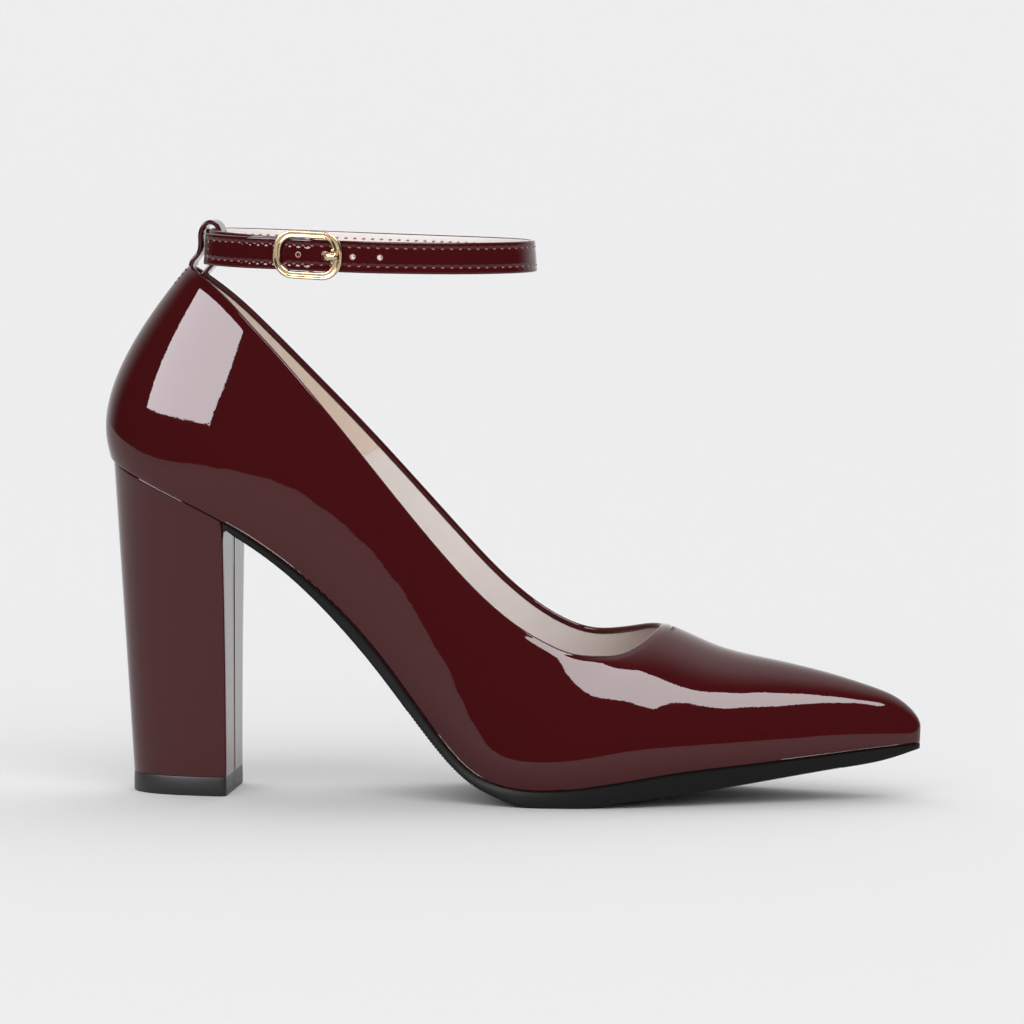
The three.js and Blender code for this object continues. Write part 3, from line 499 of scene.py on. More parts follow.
def outsole_grids():
    ribs = RIBS_FROM + RIB_PITCH * np.arange(int((RIBS_TO - RIBS_FROM) / RIB_PITCH))
    rib_rows = (ribs[:, None] + RIB_PITCH * np.array([0, 0.38, 0.5, 0.88])).ravel()
    rib_cut = np.tile([0, 0, RIB_DEPTH, RIB_DEPTH], len(ribs))
    waist = np.concatenate([[BREAST + GAP], np.linspace(BREAST + SOLE_THICKNESS, RIBS_FROM, 60)[:-1]])
    toe = FEATHER_LENGTH - (FEATHER_LENGTH - RIBS_TO) * np.linspace(1, 0, 40) ** 2
    along = np.concatenate([waist, rib_rows, toe])
    cut = np.concatenate([np.zeros(len(waist)), rib_cut, np.zeros(len(toe))])
    row = sole_table(along / FEATHER_LENGTH)
    thick = row["thick"] * SOLE_THICKNESS
    down = -bottom_normal(along)
    tip_share = np.maximum(rounding((FEATHER_LENGTH - along) / TOE_ROUND), SOLE_TIP_SHARE)

    def held(point):
        point[..., 0] = np.maximum(point[..., 0], BREAST_X + GAP)
        point[..., 2] = np.maximum(point[..., 2], 0)
        return point

    def edge(side, inset, depth):
        point = last_point(along, 0, side) - feather_normal(along, side) * (inset * tip_share)[:, None]
        return point + down * depth[:, None]
    sides = []
    for side in (OUTER, INNER):
        columns = [edge(side, np.full(len(along), SOLE_INSET + SOLE_TUCK), np.full(len(along), SOLE_CLEAR))]
        for share in np.linspace(0, 1, 7)[1:]:
            swell = SOLE_EDGE_SWELL * np.sin(np.pi * share * 0.8)
            depth = GAP + (thick - SOLE_EDGE_ROUND) * share
            columns.append(edge(side, np.full(len(along), SOLE_INSET - swell), depth))
        for turn in np.linspace(0, np.pi / 2, 6)[1:]:
            inset = SOLE_INSET + SOLE_EDGE_ROUND * (1 - np.cos(turn)) - 0.1 * np.cos(turn)
            depth = GAP + thick - SOLE_EDGE_ROUND * (1 - np.sin(turn)) - cut * smooth_step(turn / np.pi * 2)
            columns.append(edge(side, np.full(len(along), inset), depth))
        sides.append(np.stack(columns, 1))
    shares = np.linspace(0, 1, 22)[1:-1]
    crown = np.interp(shares, [0, 0.3, 0.7, 1], [0, 1, 1, 0])
    tread = mix(sides[0][:, -1:], sides[1][:, -1:], shares[None, :, None])
    tread = tread + down[:, None] * (np.maximum(row["camber"], 0)[:, None] * SOLE_CAMBER * crown)[..., None]
    ring = held(np.concatenate([sides[0], tread, sides[1][:, ::-1], sides[0][:, :1]], 1))
    grids = [ring]
    for end in (0, -1):
        centre = ring[end, :-1].mean(0)
        grids.append(np.stack([ring[end], np.broadcast_to(centre, ring[end].shape)], 1))
    return grids


# Thermoplastic rubber or cast polyurethane from a fine-blasted mould. It gives a satin black whose
# shine changes in soft patches.
def moulded_rubber(name, colour, rough, gloss):
    material, tree, shader = new_material(name)
    place = add_node(tree, "ShaderNodeTexCoord").outputs["Object"]
    grain = add_node(tree, "ShaderNodeTexNoise", Vector=place, Scale=1 / (0.35 * MM), Detail=3)
    broad = add_node(tree, "ShaderNodeTexNoise", Vector=place, Scale=1 / (6 * MM), Detail=2)
    dull = add_node(tree, "ShaderNodeMapRange", Value=broad.outputs["Fac"],
                    To_Min=rough - 0.06, To_Max=rough + 0.08)
    bump = add_node(tree, "ShaderNodeBump", Height=grain.outputs["Fac"], Strength=0.4, Distance=0.02 * MM)
    shader.inputs["Base Color"].default_value = hex_color(colour)
    shader.inputs["Specular IOR Level"].default_value = gloss
    tree.links.new(dull.outputs["Result"], shader.inputs["Roughness"])
    tree.links.new(bump.outputs["Normal"], shader.inputs["Normal"])
    return material


sole_rubber = moulded_rubber("moulded_sole_rubber", "#0b0c0c", 0.5, 0.2)
points, faces = joined_grids(outsole_grids())
add_piece("outsole_unit", points, faces, sole_rubber, ["outsole"], crease=40)

# Heel
# A moulded plastic block wrapped in the upper's patent leather. The cover is drawn round the back
# and its two edges meet in a seam down the middle of the breast.
TIP_BACK_X, TIP_WIDTH, TIP_HEIGHT, TIP_EDGE_ROUND = -15.2, 33, 5.4, 0.4
HEEL_SEAT_INSET, HEEL_FLARE, HEEL_CORNER = 1, 1.9, 1.1
SEAM_DEPTH, SEAM_LIP, HEEL_CLEAR = 0.75, 0.55, 0.06
heel_along = BREAST * np.linspace(1, 0, 41) ** 2


# Rings round the heel at some shares of its height, with rounded breast corners and the seam
def heel_rings(shares, inset=0.0, seam=SEAM_DEPTH):
    full_round = rounding(BREAST / BACK_ROUND)
    halves = []
    for side in (OUTER, INNER):
        seat = last_point(heel_along, 0, side) - feather_normal(heel_along, side) * HEEL_SEAT_INSET
        seat = seat - bottom_normal(heel_along) * HEEL_CLEAR
        seat[:, 0] = np.minimum(seat[:, 0], BREAST_X)
        seat[0, 0] = BREAST_X
        foot = vectors(
            mix(TIP_BACK_X + inset, BREAST_X - inset, heel_along / BREAST),
            side * (TIP_WIDTH / 2 - inset) * rounding(heel_along / BACK_ROUND) / full_round,
            TIP_HEIGHT + HEEL_CLEAR)
        share = np.asarray(shares, float)[:, None]
        halves.append(np.stack([mix(foot[:, 0], seat[:, 0], share),
                                mix(foot[:, 1], seat[:, 1], share ** HEEL_FLARE),
                                mix(foot[:, 2], seat[:, 2], share)], -1))
    rings = []
    for outer, inner in zip(*halves):
        around = np.concatenate([outer, inner[-2::-1]])
        corners = []
        for corner, last_side in ((around[0], around[1:]), (around[-1], around[-2::-1])):
            across = np.sign(corner[1])
            reach = corner - last_side
            away = np.linalg.norm(reach, axis=1)
            start = np.array([np.interp(HEEL_CORNER, away, last_side[:, k]) for k in range(3)])
            end = corner - np.array([0, across * HEEL_CORNER, 0])
            bend = np.linspace(0, 1, 7)[:, None]
            corners.append((1 - bend) ** 2 * start + 2 * bend * (1 - bend) * corner + bend ** 2 * end)
        kept = [k for k in range(len(around))
                if min(np.linalg.norm(around[k] - around[0]), np.linalg.norm(around[k] - around[-1]))
                > HEEL_CORNER]
        first, final = corners[0][-1], corners[1][-1]
        places = np.concatenate([np.linspace(0, 1, 9)[1:-1] * 0.44, 0.5 + SEAM_LIP / 16 *
                                 np.array([-2.4, -1.6, -1, -0.55, -0.2, 0, 0.2, 0.55, 1, 1.6, 2.4]),
                                 1 - np.linspace(1, 0, 9)[1:-1] * 0.44])
        breast = mix(final, first, places[:, None])
        lip = np.abs(breast[:, 1]) / SEAM_LIP
        breast[:, 0] += 0.10 * np.exp(-(lip - 2.2) ** 2) - seam * np.exp(-lip ** 2 * 2.2)
        rings.append(np.concatenate([corners[0][::-1], around[kept], corners[1], breast, corners[0][-1:]]))
    return np.stack(rings)


def closed_stack(rings):
    grids = [rings]
    for end in (0, -1):
        centre = rings[end, :-1].mean(0)
        grids.append(np.stack([rings[end], np.broadcast_to(centre, rings[end].shape)], 1))
    return grids


heel_patent = patent_leather("heel_cover_patent_leather", BURGUNDY, 0.7)
rings = heel_rings(np.concatenate([[0, 0.004], np.linspace(0.01, 0.985, 38), [0.992, 0.997, 1]]))
# The cover's top edge is drawn in under the shell, which leaves the dark line at the seat
for level, drawn_in in ((-3, 0.03), (-2, 0.14), (-1, 0.45)):
    middle = rings[level].mean(0)
    reach = rings[level, :, :2] - middle[:2]
    rings[level, :, :2] -= unit(reach) * drawn_in
points, faces = joined_grids(closed_stack(rings))
add_piece("heel_cover", points, faces, heel_patent, ["heel"], crease=60)

# Top piece
# The replaceable walking tip of hard black polyurethane, pinned under the heel and buffed flush
# with its cover.


def tip_rings():
    rings = []
    for level, inset in ((0, TIP_EDGE_ROUND), (0.12, 0.16), (TIP_EDGE_ROUND, 0), (2.6, -0.03),
                         (TIP_HEIGHT - 0.35, 0.02), (TIP_HEIGHT - 0.1, 0.12), (TIP_HEIGHT, 0.3)):
        ring = heel_rings([0.0], inset=inset, seam=0)[0]
        ring[:, 2] = level
        rings.append(ring)
    return np.stack(rings)


tip_rubber = moulded_rubber("cast_tip_polyurethane", "#1b1d1e", 0.42, 0.42)
points, faces = joined_grids(closed_stack(tip_rings()))
add_piece("top_piece", points, faces, tip_rubber, ["heel_tip"], crease=40)

# Ankle strap
# A strip of the patent leather, backed with lining leather and stitched along both edges. It
# starts at the buckle's bar, where the leather folds round it; that fold is not drawn. It goes through
# the back loop and round the ankle, and its punched end passes through the buckle over its own beginning.
STRAP_WIDTH, STRAP_THICKNESS, STRAP_LINING = 8.7, 1.9, 0.6
FREE_END_X, LAYER_RISE_START, FREE_END_DROP = 9.5, 34, 0.7
RING_LENGTH, RING_WIDTH, RING_HEIGHT, RING_BACK_LIFT = 90.4, 57, 149.8, 3
LOOP_X, LOOP_OPEN, LOOP_THICKNESS, LOOP_WIDTH = 7.3, 4.4, 1.2, 10
LOOP_HEADROOM, LOOP_SEAT_CLEAR = 0.8, 2.4
BUCKLE_X, BUCKLE_LENGTH, BUCKLE_HEIGHT, BUCKLE_CORNER = 38.9, 19.8, 13.3, 5.7
BUCKLE_BAR, CENTRE_BAR, FOLD_THICKNESS, LEG_CLEAR = 1.8, 1.5, 1.1, 0.4
STITCH_PITCH, STITCH_LENGTH, STITCH_THICK, STITCH_INSET = 2.55, 1.15, 0.42, 1.8
HOLE_PITCH, HOLE_DIAMETER, PRONG_HOLE_DIAMETER, PRONG_HOLE_AHEAD = 7.1, 1.2, 2.2, 4.7
STRAP_TILT, STRAP_EDGE_ROUND, PULL_LEAST, PULL_MORE, PULL_WIDTH = 0.07, 0.32, 0.05, 0.09, 0.55
PUNCH_BACK, PUNCH_FRONT = 1.08, 1.6
RING_BACK_X = LOOP_X - LOOP_OPEN / 2 + GAP + STRAP_THICKNESS / 2
RING_CENTRE_X = RING_BACK_X + RING_LENGTH / 2
LAYER_STEP = STRAP_THICKNESS + GAP
FOLD_RADIUS = CENTRE_BAR / 2 + GAP + FOLD_THICKNESS
UPRIGHT = np.array([0.0, 0.0, 1.0])


# Angle round the strap's ring, from its back, of a place on the outer side
def ring_angle(x):
    return -np.arccos((RING_CENTRE_X - x) / (RING_LENGTH / 2))


BUCKLE_ANGLE = ring_angle(BUCKLE_X)


def ring_height(x):
    forward = (x - RING_BACK_X) / RING_LENGTH
    return RING_HEIGHT + RING_BACK_LIFT * (1 - forward) ** 2


def ring_out(angle):
    return unit(vectors(-np.cos(angle) * RING_WIDTH, np.sin(angle) * RING_LENGTH, 0))


def ring_place(angle, out):
    x = RING_CENTRE_X - RING_LENGTH / 2 * np.cos(angle)
    place = vectors(x, RING_WIDTH / 2 * np.sin(angle), ring_height(x))
    return place + ring_out(angle) * np.asarray(out)[..., None]


# How far the free end lies outside its own beginning: it climbs over the fold on the bar
def free_layer_out(x):
    ahead = x - BUCKLE_X
    half = BUCKLE_LENGTH / 2
    rise = smooth_step((LAYER_RISE_START - ahead) / (LAYER_RISE_START - half))
    over_fold = FOLD_RADIUS + GAP + STRAP_THICKNESS / 2 - LAYER_STEP
    return LAYER_STEP * rise + over_fold * np.maximum(1 - (ahead / half) ** 2, 0) ** 2


def strap_place(angle):
    x = RING_CENTRE_X - RING_LENGTH / 2 * np.cos(angle)
    free = angle > np.pi
    place = ring_place(angle, np.where(free, free_layer_out(x), 0))
    place[..., 2] -= FREE_END_DROP * free * smooth_step((BUCKLE_X - x) / (BUCKLE_X - FREE_END_X))
    return place


# Skin of a section, points of out and across, carried along a path; side is the across direction
def swept(path, side, section, closed=False):
    if closed:
        before, after = np.roll(path, 1, 0), np.roll(path, -1, 0)
    else:
        before, after = np.concatenate([path[:1], path[:-1]]), np.concatenate([path[1:], path[-1:]])
    out = unit(np.cross(side, after - before))
    section = np.broadcast_to(section, (len(path),) + np.shape(section)[-2:])
    rings = path[:, None] + out[:, None] * section[..., :1] + side * section[..., 1:]
    rings = np.concatenate([rings, rings[:, :1]], 1)
    return np.concatenate([rings, rings[:1]]) if closed else rings


# Rounded section of a strip from one face to the other, with more points across its front
def strip_section(back, front, width, edge, across):
    half = width / 2
    places = np.linspace(-half + edge, half - edge, across)
    turns = np.linspace(-np.pi / 2, np.pi / 2, 7)
    middle, swell = (back + front) / 2, (front - back) / 2
    high = [(middle + swell * np.sin(turn), half - edge + edge * np.cos(turn)) for turn in turns[::-1]]
    low = [(middle + swell * np.sin(turn), -half + edge - edge * np.cos(turn)) for turn in turns]
    front_face = [(front, place) for place in places[1:-1]]
    back_face = [(back, place) for place in places[-2:0:-1]]
    return np.array(front_face + high + back_face + low)


strap_start = ring_angle(BUCKLE_X - FOLD_RADIUS)
strap_end = 2 * np.pi + ring_angle(FREE_END_X)
STRAP_ROWS = 900
coarse = strap_place(np.linspace(strap_start, strap_end, 4000))
run = np.concatenate([[0], np.cumsum(np.linalg.norm(np.diff(coarse, axis=0), axis=1))])


def at_length(length):
    return np.stack([np.interp(length, run, coarse[:, k]) for k in range(3)], -1)


def strap_frame(length):
    ahead = unit(at_length(length + 0.4) - at_length(length - 0.4))
    return at_length(length), unit(np.cross(UPRIGHT, ahead)), ahead


stitch_count = int((run[-1] - 6) / STITCH_PITCH)
stitch_places = 2.6 + STITCH_PITCH * np.arange(stitch_count + 1)
strap_lengths = np.linspace(0, run[-1], STRAP_ROWS)
path = at_length(strap_lengths)
leather_back = -STRAP_THICKNESS / 2 + STRAP_LINING
section = strip_section(leather_back, STRAP_THICKNESS / 2, STRAP_WIDTH, STRAP_EDGE_ROUND, 34)
section = np.tile(section, (STRAP_ROWS, 1, 1))
# The thread pulls the leather in, most beside each stitch's ends
phase = np.abs((strap_lengths - stitch_places[0]) / STITCH_PITCH % 1 - 0.5) * 2
pull = PULL_LEAST + PULL_MORE * (1 - phase) ** 2
row_away = np.abs(np.abs(section[..., 1]) - (STRAP_WIDTH / 2 - STITCH_INSET))
front_side = section[..., 0] > 0.8
section[..., 0] -= STRAP_TILT * section[..., 1]
section[..., 0] -= np.where(front_side, pull[:, None] * np.exp(-(row_away / PULL_WIDTH) ** 2), 0)


# The seven rows of an oval thread stitch that lies along a line and dips at both ends
def stitch_grid(centre, along, out, length, thick):
    across = np.cross(along, out)
    stations = np.cos(np.linspace(np.pi, 0, 8))
    turns = np.linspace(0, 2 * np.pi, 9)
    rings = []
    for station in stations:
        size = np.sqrt(max(1 - station ** 2, 0)) * thick / 2
        place = centre + along * station * length / 2 - out * 0.12 * station ** 4
        rings.append([place + size * (np.cos(turn) * out + 1.15 * np.sin(turn) * across) for turn in turns])
    return np.array(rings)


# Two rows along the strap and three stitches across its end, on the face at a depth
def strap_stitches(depth, outward):
    grids = []
    place, out, ahead = strap_frame(stitch_places)
    for k in range(len(stitch_places)):
        for edge in (-1, 1):
            slant = unit(ahead[k] + UPRIGHT * 0.16 * edge)
            rise = edge * (STRAP_WIDTH / 2 - STITCH_INSET)
            centre = place[k] + out[k] * (depth - STRAP_TILT * rise) + UPRIGHT * rise
            grids.append(stitch_grid(centre, slant, out[k] * outward, STITCH_LENGTH, STITCH_THICK))
    end, out, ahead = strap_frame(run[-1] - 2.2)
    for rise in (-1.9, 0, 1.9):
        centre = end + out * (depth - STRAP_TILT * rise) + UPRIGHT * rise
        slant = unit(UPRIGHT + 0.3 * ahead)
        grids.append(stitch_grid(centre, slant, out * outward, STITCH_LENGTH, STITCH_THICK))
    return grids


# Waxed polyester thread, and the fibres of a punched edge. Both give a dull, finely ridged line
# beside the gloss.
def dull_fibre(name, colour):
    material, tree, shader = new_material(name)
    place = add_node(tree, "ShaderNodeTexCoord").outputs["Object"]
    twist = add_node(tree, "ShaderNodeTexWave", Vector=place, Scale=1 / (1.1 * MM), Distortion=1.0)
    bump = add_node(tree, "ShaderNodeBump", Height=twist.outputs["Fac"], Strength=0.5, Distance=0.03 * MM)
    shader.inputs["Base Color"].default_value = hex_color(colour)
    shader.inputs["Roughness"].default_value = 0.45
    tree.links.new(bump.outputs["Normal"], shader.inputs["Normal"])
    return material


# Rod along a line, for cutting
def rod(start, end, diameter):
    aim = unit(end - start)
    side = unit(np.cross(aim, UPRIGHT))
    lift = np.cross(side, aim)
    turns = np.linspace(0, 2 * np.pi, 33)
    ring = np.cos(turns)[:, None] * side + np.sin(turns)[:, None] * lift
    rings = np.stack([place + ring * diameter / 2 for place in (start, end)])
    return joined_grids(closed_stack(rings))


# Punches the strap's holes through a piece
def punch(piece, holes):
    for start, end, diameter in holes:
        points, faces = rod(start, end, diameter)
        mesh = bpy.data.meshes.new("punch")
        mesh.from_pydata((points * MM).tolist(), [], faces)
        work = bmesh.new()
        work.from_mesh(mesh)
        bmesh.ops.remove_doubles(work, verts=work.verts, dist=1e-6)
        bmesh.ops.recalc_face_normals(work, faces=work.faces)
        work.to_mesh(mesh)
        work.free()
        cutter = bpy.data.objects.new("punch", mesh)
        bpy.context.scene.collection.objects.link(cutter)
        cut = piece.modifiers.new("punch", "BOOLEAN")
        cut.operation, cut.solver, cut.object = "DIFFERENCE", "EXACT", cutter
        bpy.context.view_layer.update()
        cut_piece = piece.evaluated_get(bpy.context.evaluated_depsgraph_get())
        holed = bpy.data.meshes.new_from_object(cut_piece)
        piece.modifiers.clear()
        piece.data = holed
        bpy.data.objects.remove(cutter)


strap_holes = []
for k in range(-1, 3):
    angle = 2 * np.pi + ring_angle(BUCKLE_X + PRONG_HOLE_AHEAD + HOLE_PITCH * k)
    middle, out = strap_place(angle), ring_out(angle)
    wide = PRONG_HOLE_DIAMETER if k == 0 else HOLE_DIAMETER
    strap_holes.append((middle - out * PUNCH_BACK, middle + out * PUNCH_FRONT, wide))
points, faces = joined_grids(closed_stack(swept(path, UPRIGHT, section)))
strap = add_piece("strap_leather", points, faces, patent, ["ankle_strap"], crease=50)
punch(strap, strap_holes)
strap_section = strip_section(-STRAP_THICKNESS / 2, leather_back - LINING_CLEAR, STRAP_WIDTH - 0.5, 0.2, 10)
strap_section[:, 0] -= STRAP_TILT * strap_section[:, 1]
lining_path = at_length(np.linspace(0, run[-1], 300))
points, faces = joined_grids(closed_stack(swept(lining_path, UPRIGHT, strap_section)))
strap_back = add_piece("strap_lining", points, faces, quarter_leather, crease=50)
punch(strap_back, strap_holes)
# Burgundy thread painted lighter than the leather: the lightness is a painted highlight for the gloss on
# the puckered stitches.
thread = dull_fibre("waxed_burgundy_thread_painted_highlight", "#94565a")
grids = strap_stitches(STRAP_THICKNESS / 2 - 0.10, 1) + strap_stitches(-STRAP_THICKNESS / 2, -1)
points, faces = joined_grids(grids)
add_piece("strap_stitches", points, faces, thread)


def round_section(diameter, count):
    turns = np.linspace(0, 2 * np.pi, count + 1)[:-1]
    return np.stack([np.cos(turns), np.sin(turns)], -1) * diameter / 2


# Bare cut edge of a punched hole, a low ring on the strap's face
def hole_edge(start, end, diameter):
    out = unit(end - start)
    ahead = unit(np.cross(UPRIGHT, out))
    turns = np.linspace(0, 2 * np.pi, 29)[:-1]
    centre = start + out * (PUNCH_BACK + STRAP_THICKNESS / 2 - 0.03)
    circle = np.cos(turns)[:, None] * ahead + np.sin(turns)[:, None] * UPRIGHT
    path = centre + (diameter / 2 + 0.1) * circle
    return swept(path, out, round_section(0.30, 10), closed=True)


cut_edge = dull_fibre("cut_leather_edge", "#b98f8e")
points, faces = joined_grids([hole_edge(*hole) for hole in strap_holes])
add_piece("hole_edges", points, faces, cut_edge)

# Back loop
# A narrow strip of the patent leather that holds the ankle strap up. One end is caught in the fold
# of the collar with stitches that show outside, and the other is sewn down inside.
CROWN_LIFT = 0.4


def smooth_path(points, count):
    points = np.asarray(points, float)
    places = np.concatenate([[0], np.cumsum(np.linalg.norm(np.diff(points, axis=0), axis=1) ** 0.5)])
    at = np.linspace(0, places[-1], count)
    return np.stack([natural_spline(places, points[:, k])(at) for k in range(3)], -1)


def loop_path():
    half = LOOP_THICKNESS / 2
    top = wall_top(0, INNER)
    rim = last_point(0, top, INNER)
    outer_leg = LOOP_X - LOOP_OPEN / 2 - half
    inner_leg = LOOP_X + LOOP_OPEN / 2 + half
    strap_top = ring_height(RING_BACK_X) + STRAP_WIDTH / 2
    crown = strap_top + LOOP_HEADROOM + half
    clear = LOOP_SEAT_CLEAR + GAP + half

    def at(share, depth):
        return last_point(0, top * share, INNER) + last_normal(0, top * share, INNER) * depth

    def place(across, z):
        return np.array([mix(outer_leg, inner_leg, across), 0, z])

    def height(share):
        return mix(rim[2], crown, share)
    inside = [at(share, -WALL - clear) for share in (1, 0.955, 0.91)]
    return smooth_path([
        np.array([rim[0] + 0.8, 0, rim[2] - 0.7]),
        np.array([mix(rim[0], outer_leg, 0.4), 0, rim[2] + 0.9]),
        np.array([mix(rim[0], outer_leg, 0.82), 0, height(0.24)]),
        place(0, height(0.45)), place(0, strap_top - 2.5), place(0.03, strap_top - 0.9),
        place(0.2, strap_top + 1.0), place(0.5, crown + CROWN_LIFT), place(0.8, strap_top + 1.0),
        place(0.97, strap_top - 0.9), place(1, height(0.55)),
        place(0.88, height(0.20)), place(0.55, height(-0.04)), *inside], 140)


loop_section = strip_section(-LOOP_THICKNESS / 2, LOOP_THICKNESS / 2, LOOP_WIDTH, 0.25, 14)
loop_line = loop_path()
points, faces = joined_grids(closed_stack(swept(loop_line, np.array([0.0, -1, 0]), loop_section)))
add_piece("loop_strip", points, faces, patent, ["back_loop"], crease=50)
loop_seam = []
for share in (0.975, 0.957, 0.939, 0.921):
    beside, up = 0.3, wall_top(0, OUTER) * share
    out = last_normal(beside, up, OUTER)
    slant = unit(np.cross(UPRIGHT, out) + 0.5 * UPRIGHT)
    loop_seam.append(stitch_grid(last_point(beside, up, OUTER), slant, out, 1.5, STITCH_THICK))
points, faces = joined_grids(loop_seam)
add_piece("loop_stitches", points, faces, thread)

# Buckle
# A frame, bar and prong die-cast in zinc alloy, polished and plated in pale gold. The frame has
# a groove between two rolled edges, and two small beads beside the place where the prong rests.
PRONG_THICKNESS, PRONG_REACH, PRONG_SWELL = 1.4, 9.2, 1.6
FRAME_STEPS, FRAME_WIDEN, FRAME_WIDEN_RIGHT = 16, 1.18, 0.25
BEAD_RADIUS, BEAD_X, BEAD_Y, BEAD_RISE = 0.62, 7.35, 1.62, 0.45


def buckle_axes():
    slope = (ring_height(BUCKLE_X + 1) - ring_height(BUCKLE_X - 1)) / 2
    out = ring_out(BUCKLE_ANGLE)
    ahead = unit(np.array([-out[1], out[0], slope]))
    return ring_place(BUCKLE_ANGLE, 0), np.stack([ahead, np.cross(out, ahead), out])


buckle_origin, buckle_turn = buckle_axes()


def on_buckle(points):
    return buckle_origin + np.asarray(points) @ buckle_turn


def ring_drop():
    drops = []
    for end in (-1, 1):
        x = BUCKLE_X + end * (BUCKLE_LENGTH - BUCKLE_BAR) / 2
        drops.append(-((ring_place(ring_angle(x), 0) - buckle_origin) @ buckle_turn[2]))
    return min(drops)


FRAME_OUT = LAYER_STEP + STRAP_THICKNESS / 2 + GAP + BUCKLE_BAR / 2 - ring_drop() + GAP / 2
PRONG_TOP = FRAME_OUT + (BUCKLE_BAR + PRONG_THICKNESS) / 2 + GAP
PRONG_RING = CENTRE_BAR / 2 + GAP
# Points round the frame's section, across and out, with the groove between its two rolled edges
FRAME_SECTION = [
    (-0.55, -0.90), (0.0, -0.98), (0.55, -0.90), (0.85, -0.55), (0.90, 0.0), (0.84, 0.42), (0.66, 0.66),
    (0.44, 0.66), (0.26, 0.42), (0.04, 0.26), (-0.20, 0.30), (-0.36, 0.46), (-0.52, 0.56),
    (-0.70, 0.48), (-0.84, 0.25), (-0.90, -0.2), (-0.82, -0.62),
]


def frame_path():
    corner = BUCKLE_CORNER - BUCKLE_BAR / 2
    side_x, side_y = BUCKLE_LENGTH / 2 - BUCKLE_CORNER, BUCKLE_HEIGHT / 2 - BUCKLE_CORNER
    path = []
    for quarter, (right, top) in enumerate([(1, 1), (-1, 1), (-1, -1), (1, -1)]):
        for turn in np.pi / 2 * (quarter + np.linspace(0, 1, FRAME_STEPS)):
            x, y = right * side_x + corner * np.cos(turn), top * side_y + corner * np.sin(turn)
            path.append([x, y, FRAME_OUT])
    return np.array(path)


def frame_grids():
    path = frame_path()
    widen = FRAME_WIDEN + FRAME_WIDEN_RIGHT * smooth_step((path[:, 0] - 6.5) / 2.5)
    section = np.array(FRAME_SECTION)[None] * np.stack([widen, np.ones(len(path))], -1)[:, None]
    section[..., 0] -= (widen - 1)[:, None] * BUCKLE_BAR / 2
    grids = [swept(path, np.array([0.0, 0, -1]), section * [1, -1], closed=True)]
    leg = STRAP_WIDTH / 2 + CENTRE_BAR / 2 + LEG_CLEAR
    bar_path = np.array([[0, y, 0] for y in np.linspace(-leg, leg, 8)])
    round_bar = round_section(CENTRE_BAR, 20)
    grids += closed_stack(swept(bar_path, np.array([1.0, 0, 0]), round_bar))
    for end in (-1, 1):
        leg_path = np.array([[0, end * leg, z] for z in np.linspace(-CENTRE_BAR / 2, FRAME_OUT, 6)])
        grids += closed_stack(swept(leg_path, np.array([1.0, 0, 0]), round_bar))
        turns = np.linspace(0, 2 * np.pi, 17)
        rises = np.linspace(-np.pi / 2, np.pi / 2, 9)
        bead = np.stack([
            np.outer(np.cos(rises), np.cos(turns)), np.outer(np.cos(rises), np.sin(turns)),
            np.outer(np.sin(rises), np.ones(17))], -1) * BEAD_RADIUS
        grids.append(bead + [BEAD_X, end * BEAD_Y, FRAME_OUT + BEAD_RISE])
    return [on_buckle(grid) for grid in grids]


# Zinc alloy, die-cast, barrel polished and plated. It gives crisp warm glints that soften where
# the polish is worn.
def plated_metal(name, colour):
    material, tree, shader = new_material(name)
    place = add_node(tree, "ShaderNodeTexCoord").outputs["Object"]
    polish = add_node(tree, "ShaderNodeTexNoise", Vector=place, Scale=1 / (2.5 * MM), Detail=3)
    rough = add_node(tree, "ShaderNodeMapRange", Value=polish.outputs["Fac"], To_Min=0.14, To_Max=0.28)
    shader.inputs["Base Color"].default_value = hex_color(colour)
    shader.inputs["Metallic"].default_value = 1
    tree.links.new(rough.outputs["Result"], shader.inputs["Roughness"])
    return material


# The prong's line from the bar to the frame: share of its reach, and share of its rise
PRONG_SHAPE = [(0, 0), (0.28, 0), (0.48, 0.38), (0.68, 0.84), (0.90, 1), (1, 1)]


def prong_grids():
    low = PRONG_RING + PRONG_THICKNESS / 2
    line = [(reach * PRONG_REACH, 0, mix(low, PRONG_TOP, rise)) for reach, rise in PRONG_SHAPE]
    path = smooth_path(line, 40)
    taper = np.interp(path[:, 0], [0, 3, 5.2, 6.2, PRONG_REACH - 0.6, PRONG_REACH],
                      [1, 1, 1.2, PRONG_SWELL, 1.3, 0.5])
    section = round_section(PRONG_THICKNESS, 20)[None] * taper[:, None, None] * [1, 1.12]
    grids = closed_stack(swept(path, np.array([0.0, 1, 0]), section))
    turns = np.linspace(0, 2 * np.pi, 41)[:-1]
    middle = (PRONG_RING + FOLD_RADIUS) / 2
    ring = np.stack([middle * np.cos(turns), 0 * turns, middle * np.sin(turns)], -1)
    eye = round_section(1, 16) * [FOLD_RADIUS - PRONG_RING, PRONG_THICKNESS]
    grids.append(swept(ring, np.array([0.0, 1, 0]), eye, closed=True))
    return [on_buckle(grid) for grid in grids]


gold = plated_metal("pale_gold_plate", "#cdb692")
points, faces = joined_grids(frame_grids())
add_piece("frame_and_bar", points, faces, gold, ["buckle_frame"], crease=60)
points, faces = joined_grids(prong_grids())
add_piece("prong", points, faces, gold, ["buckle_prong"], crease=60)


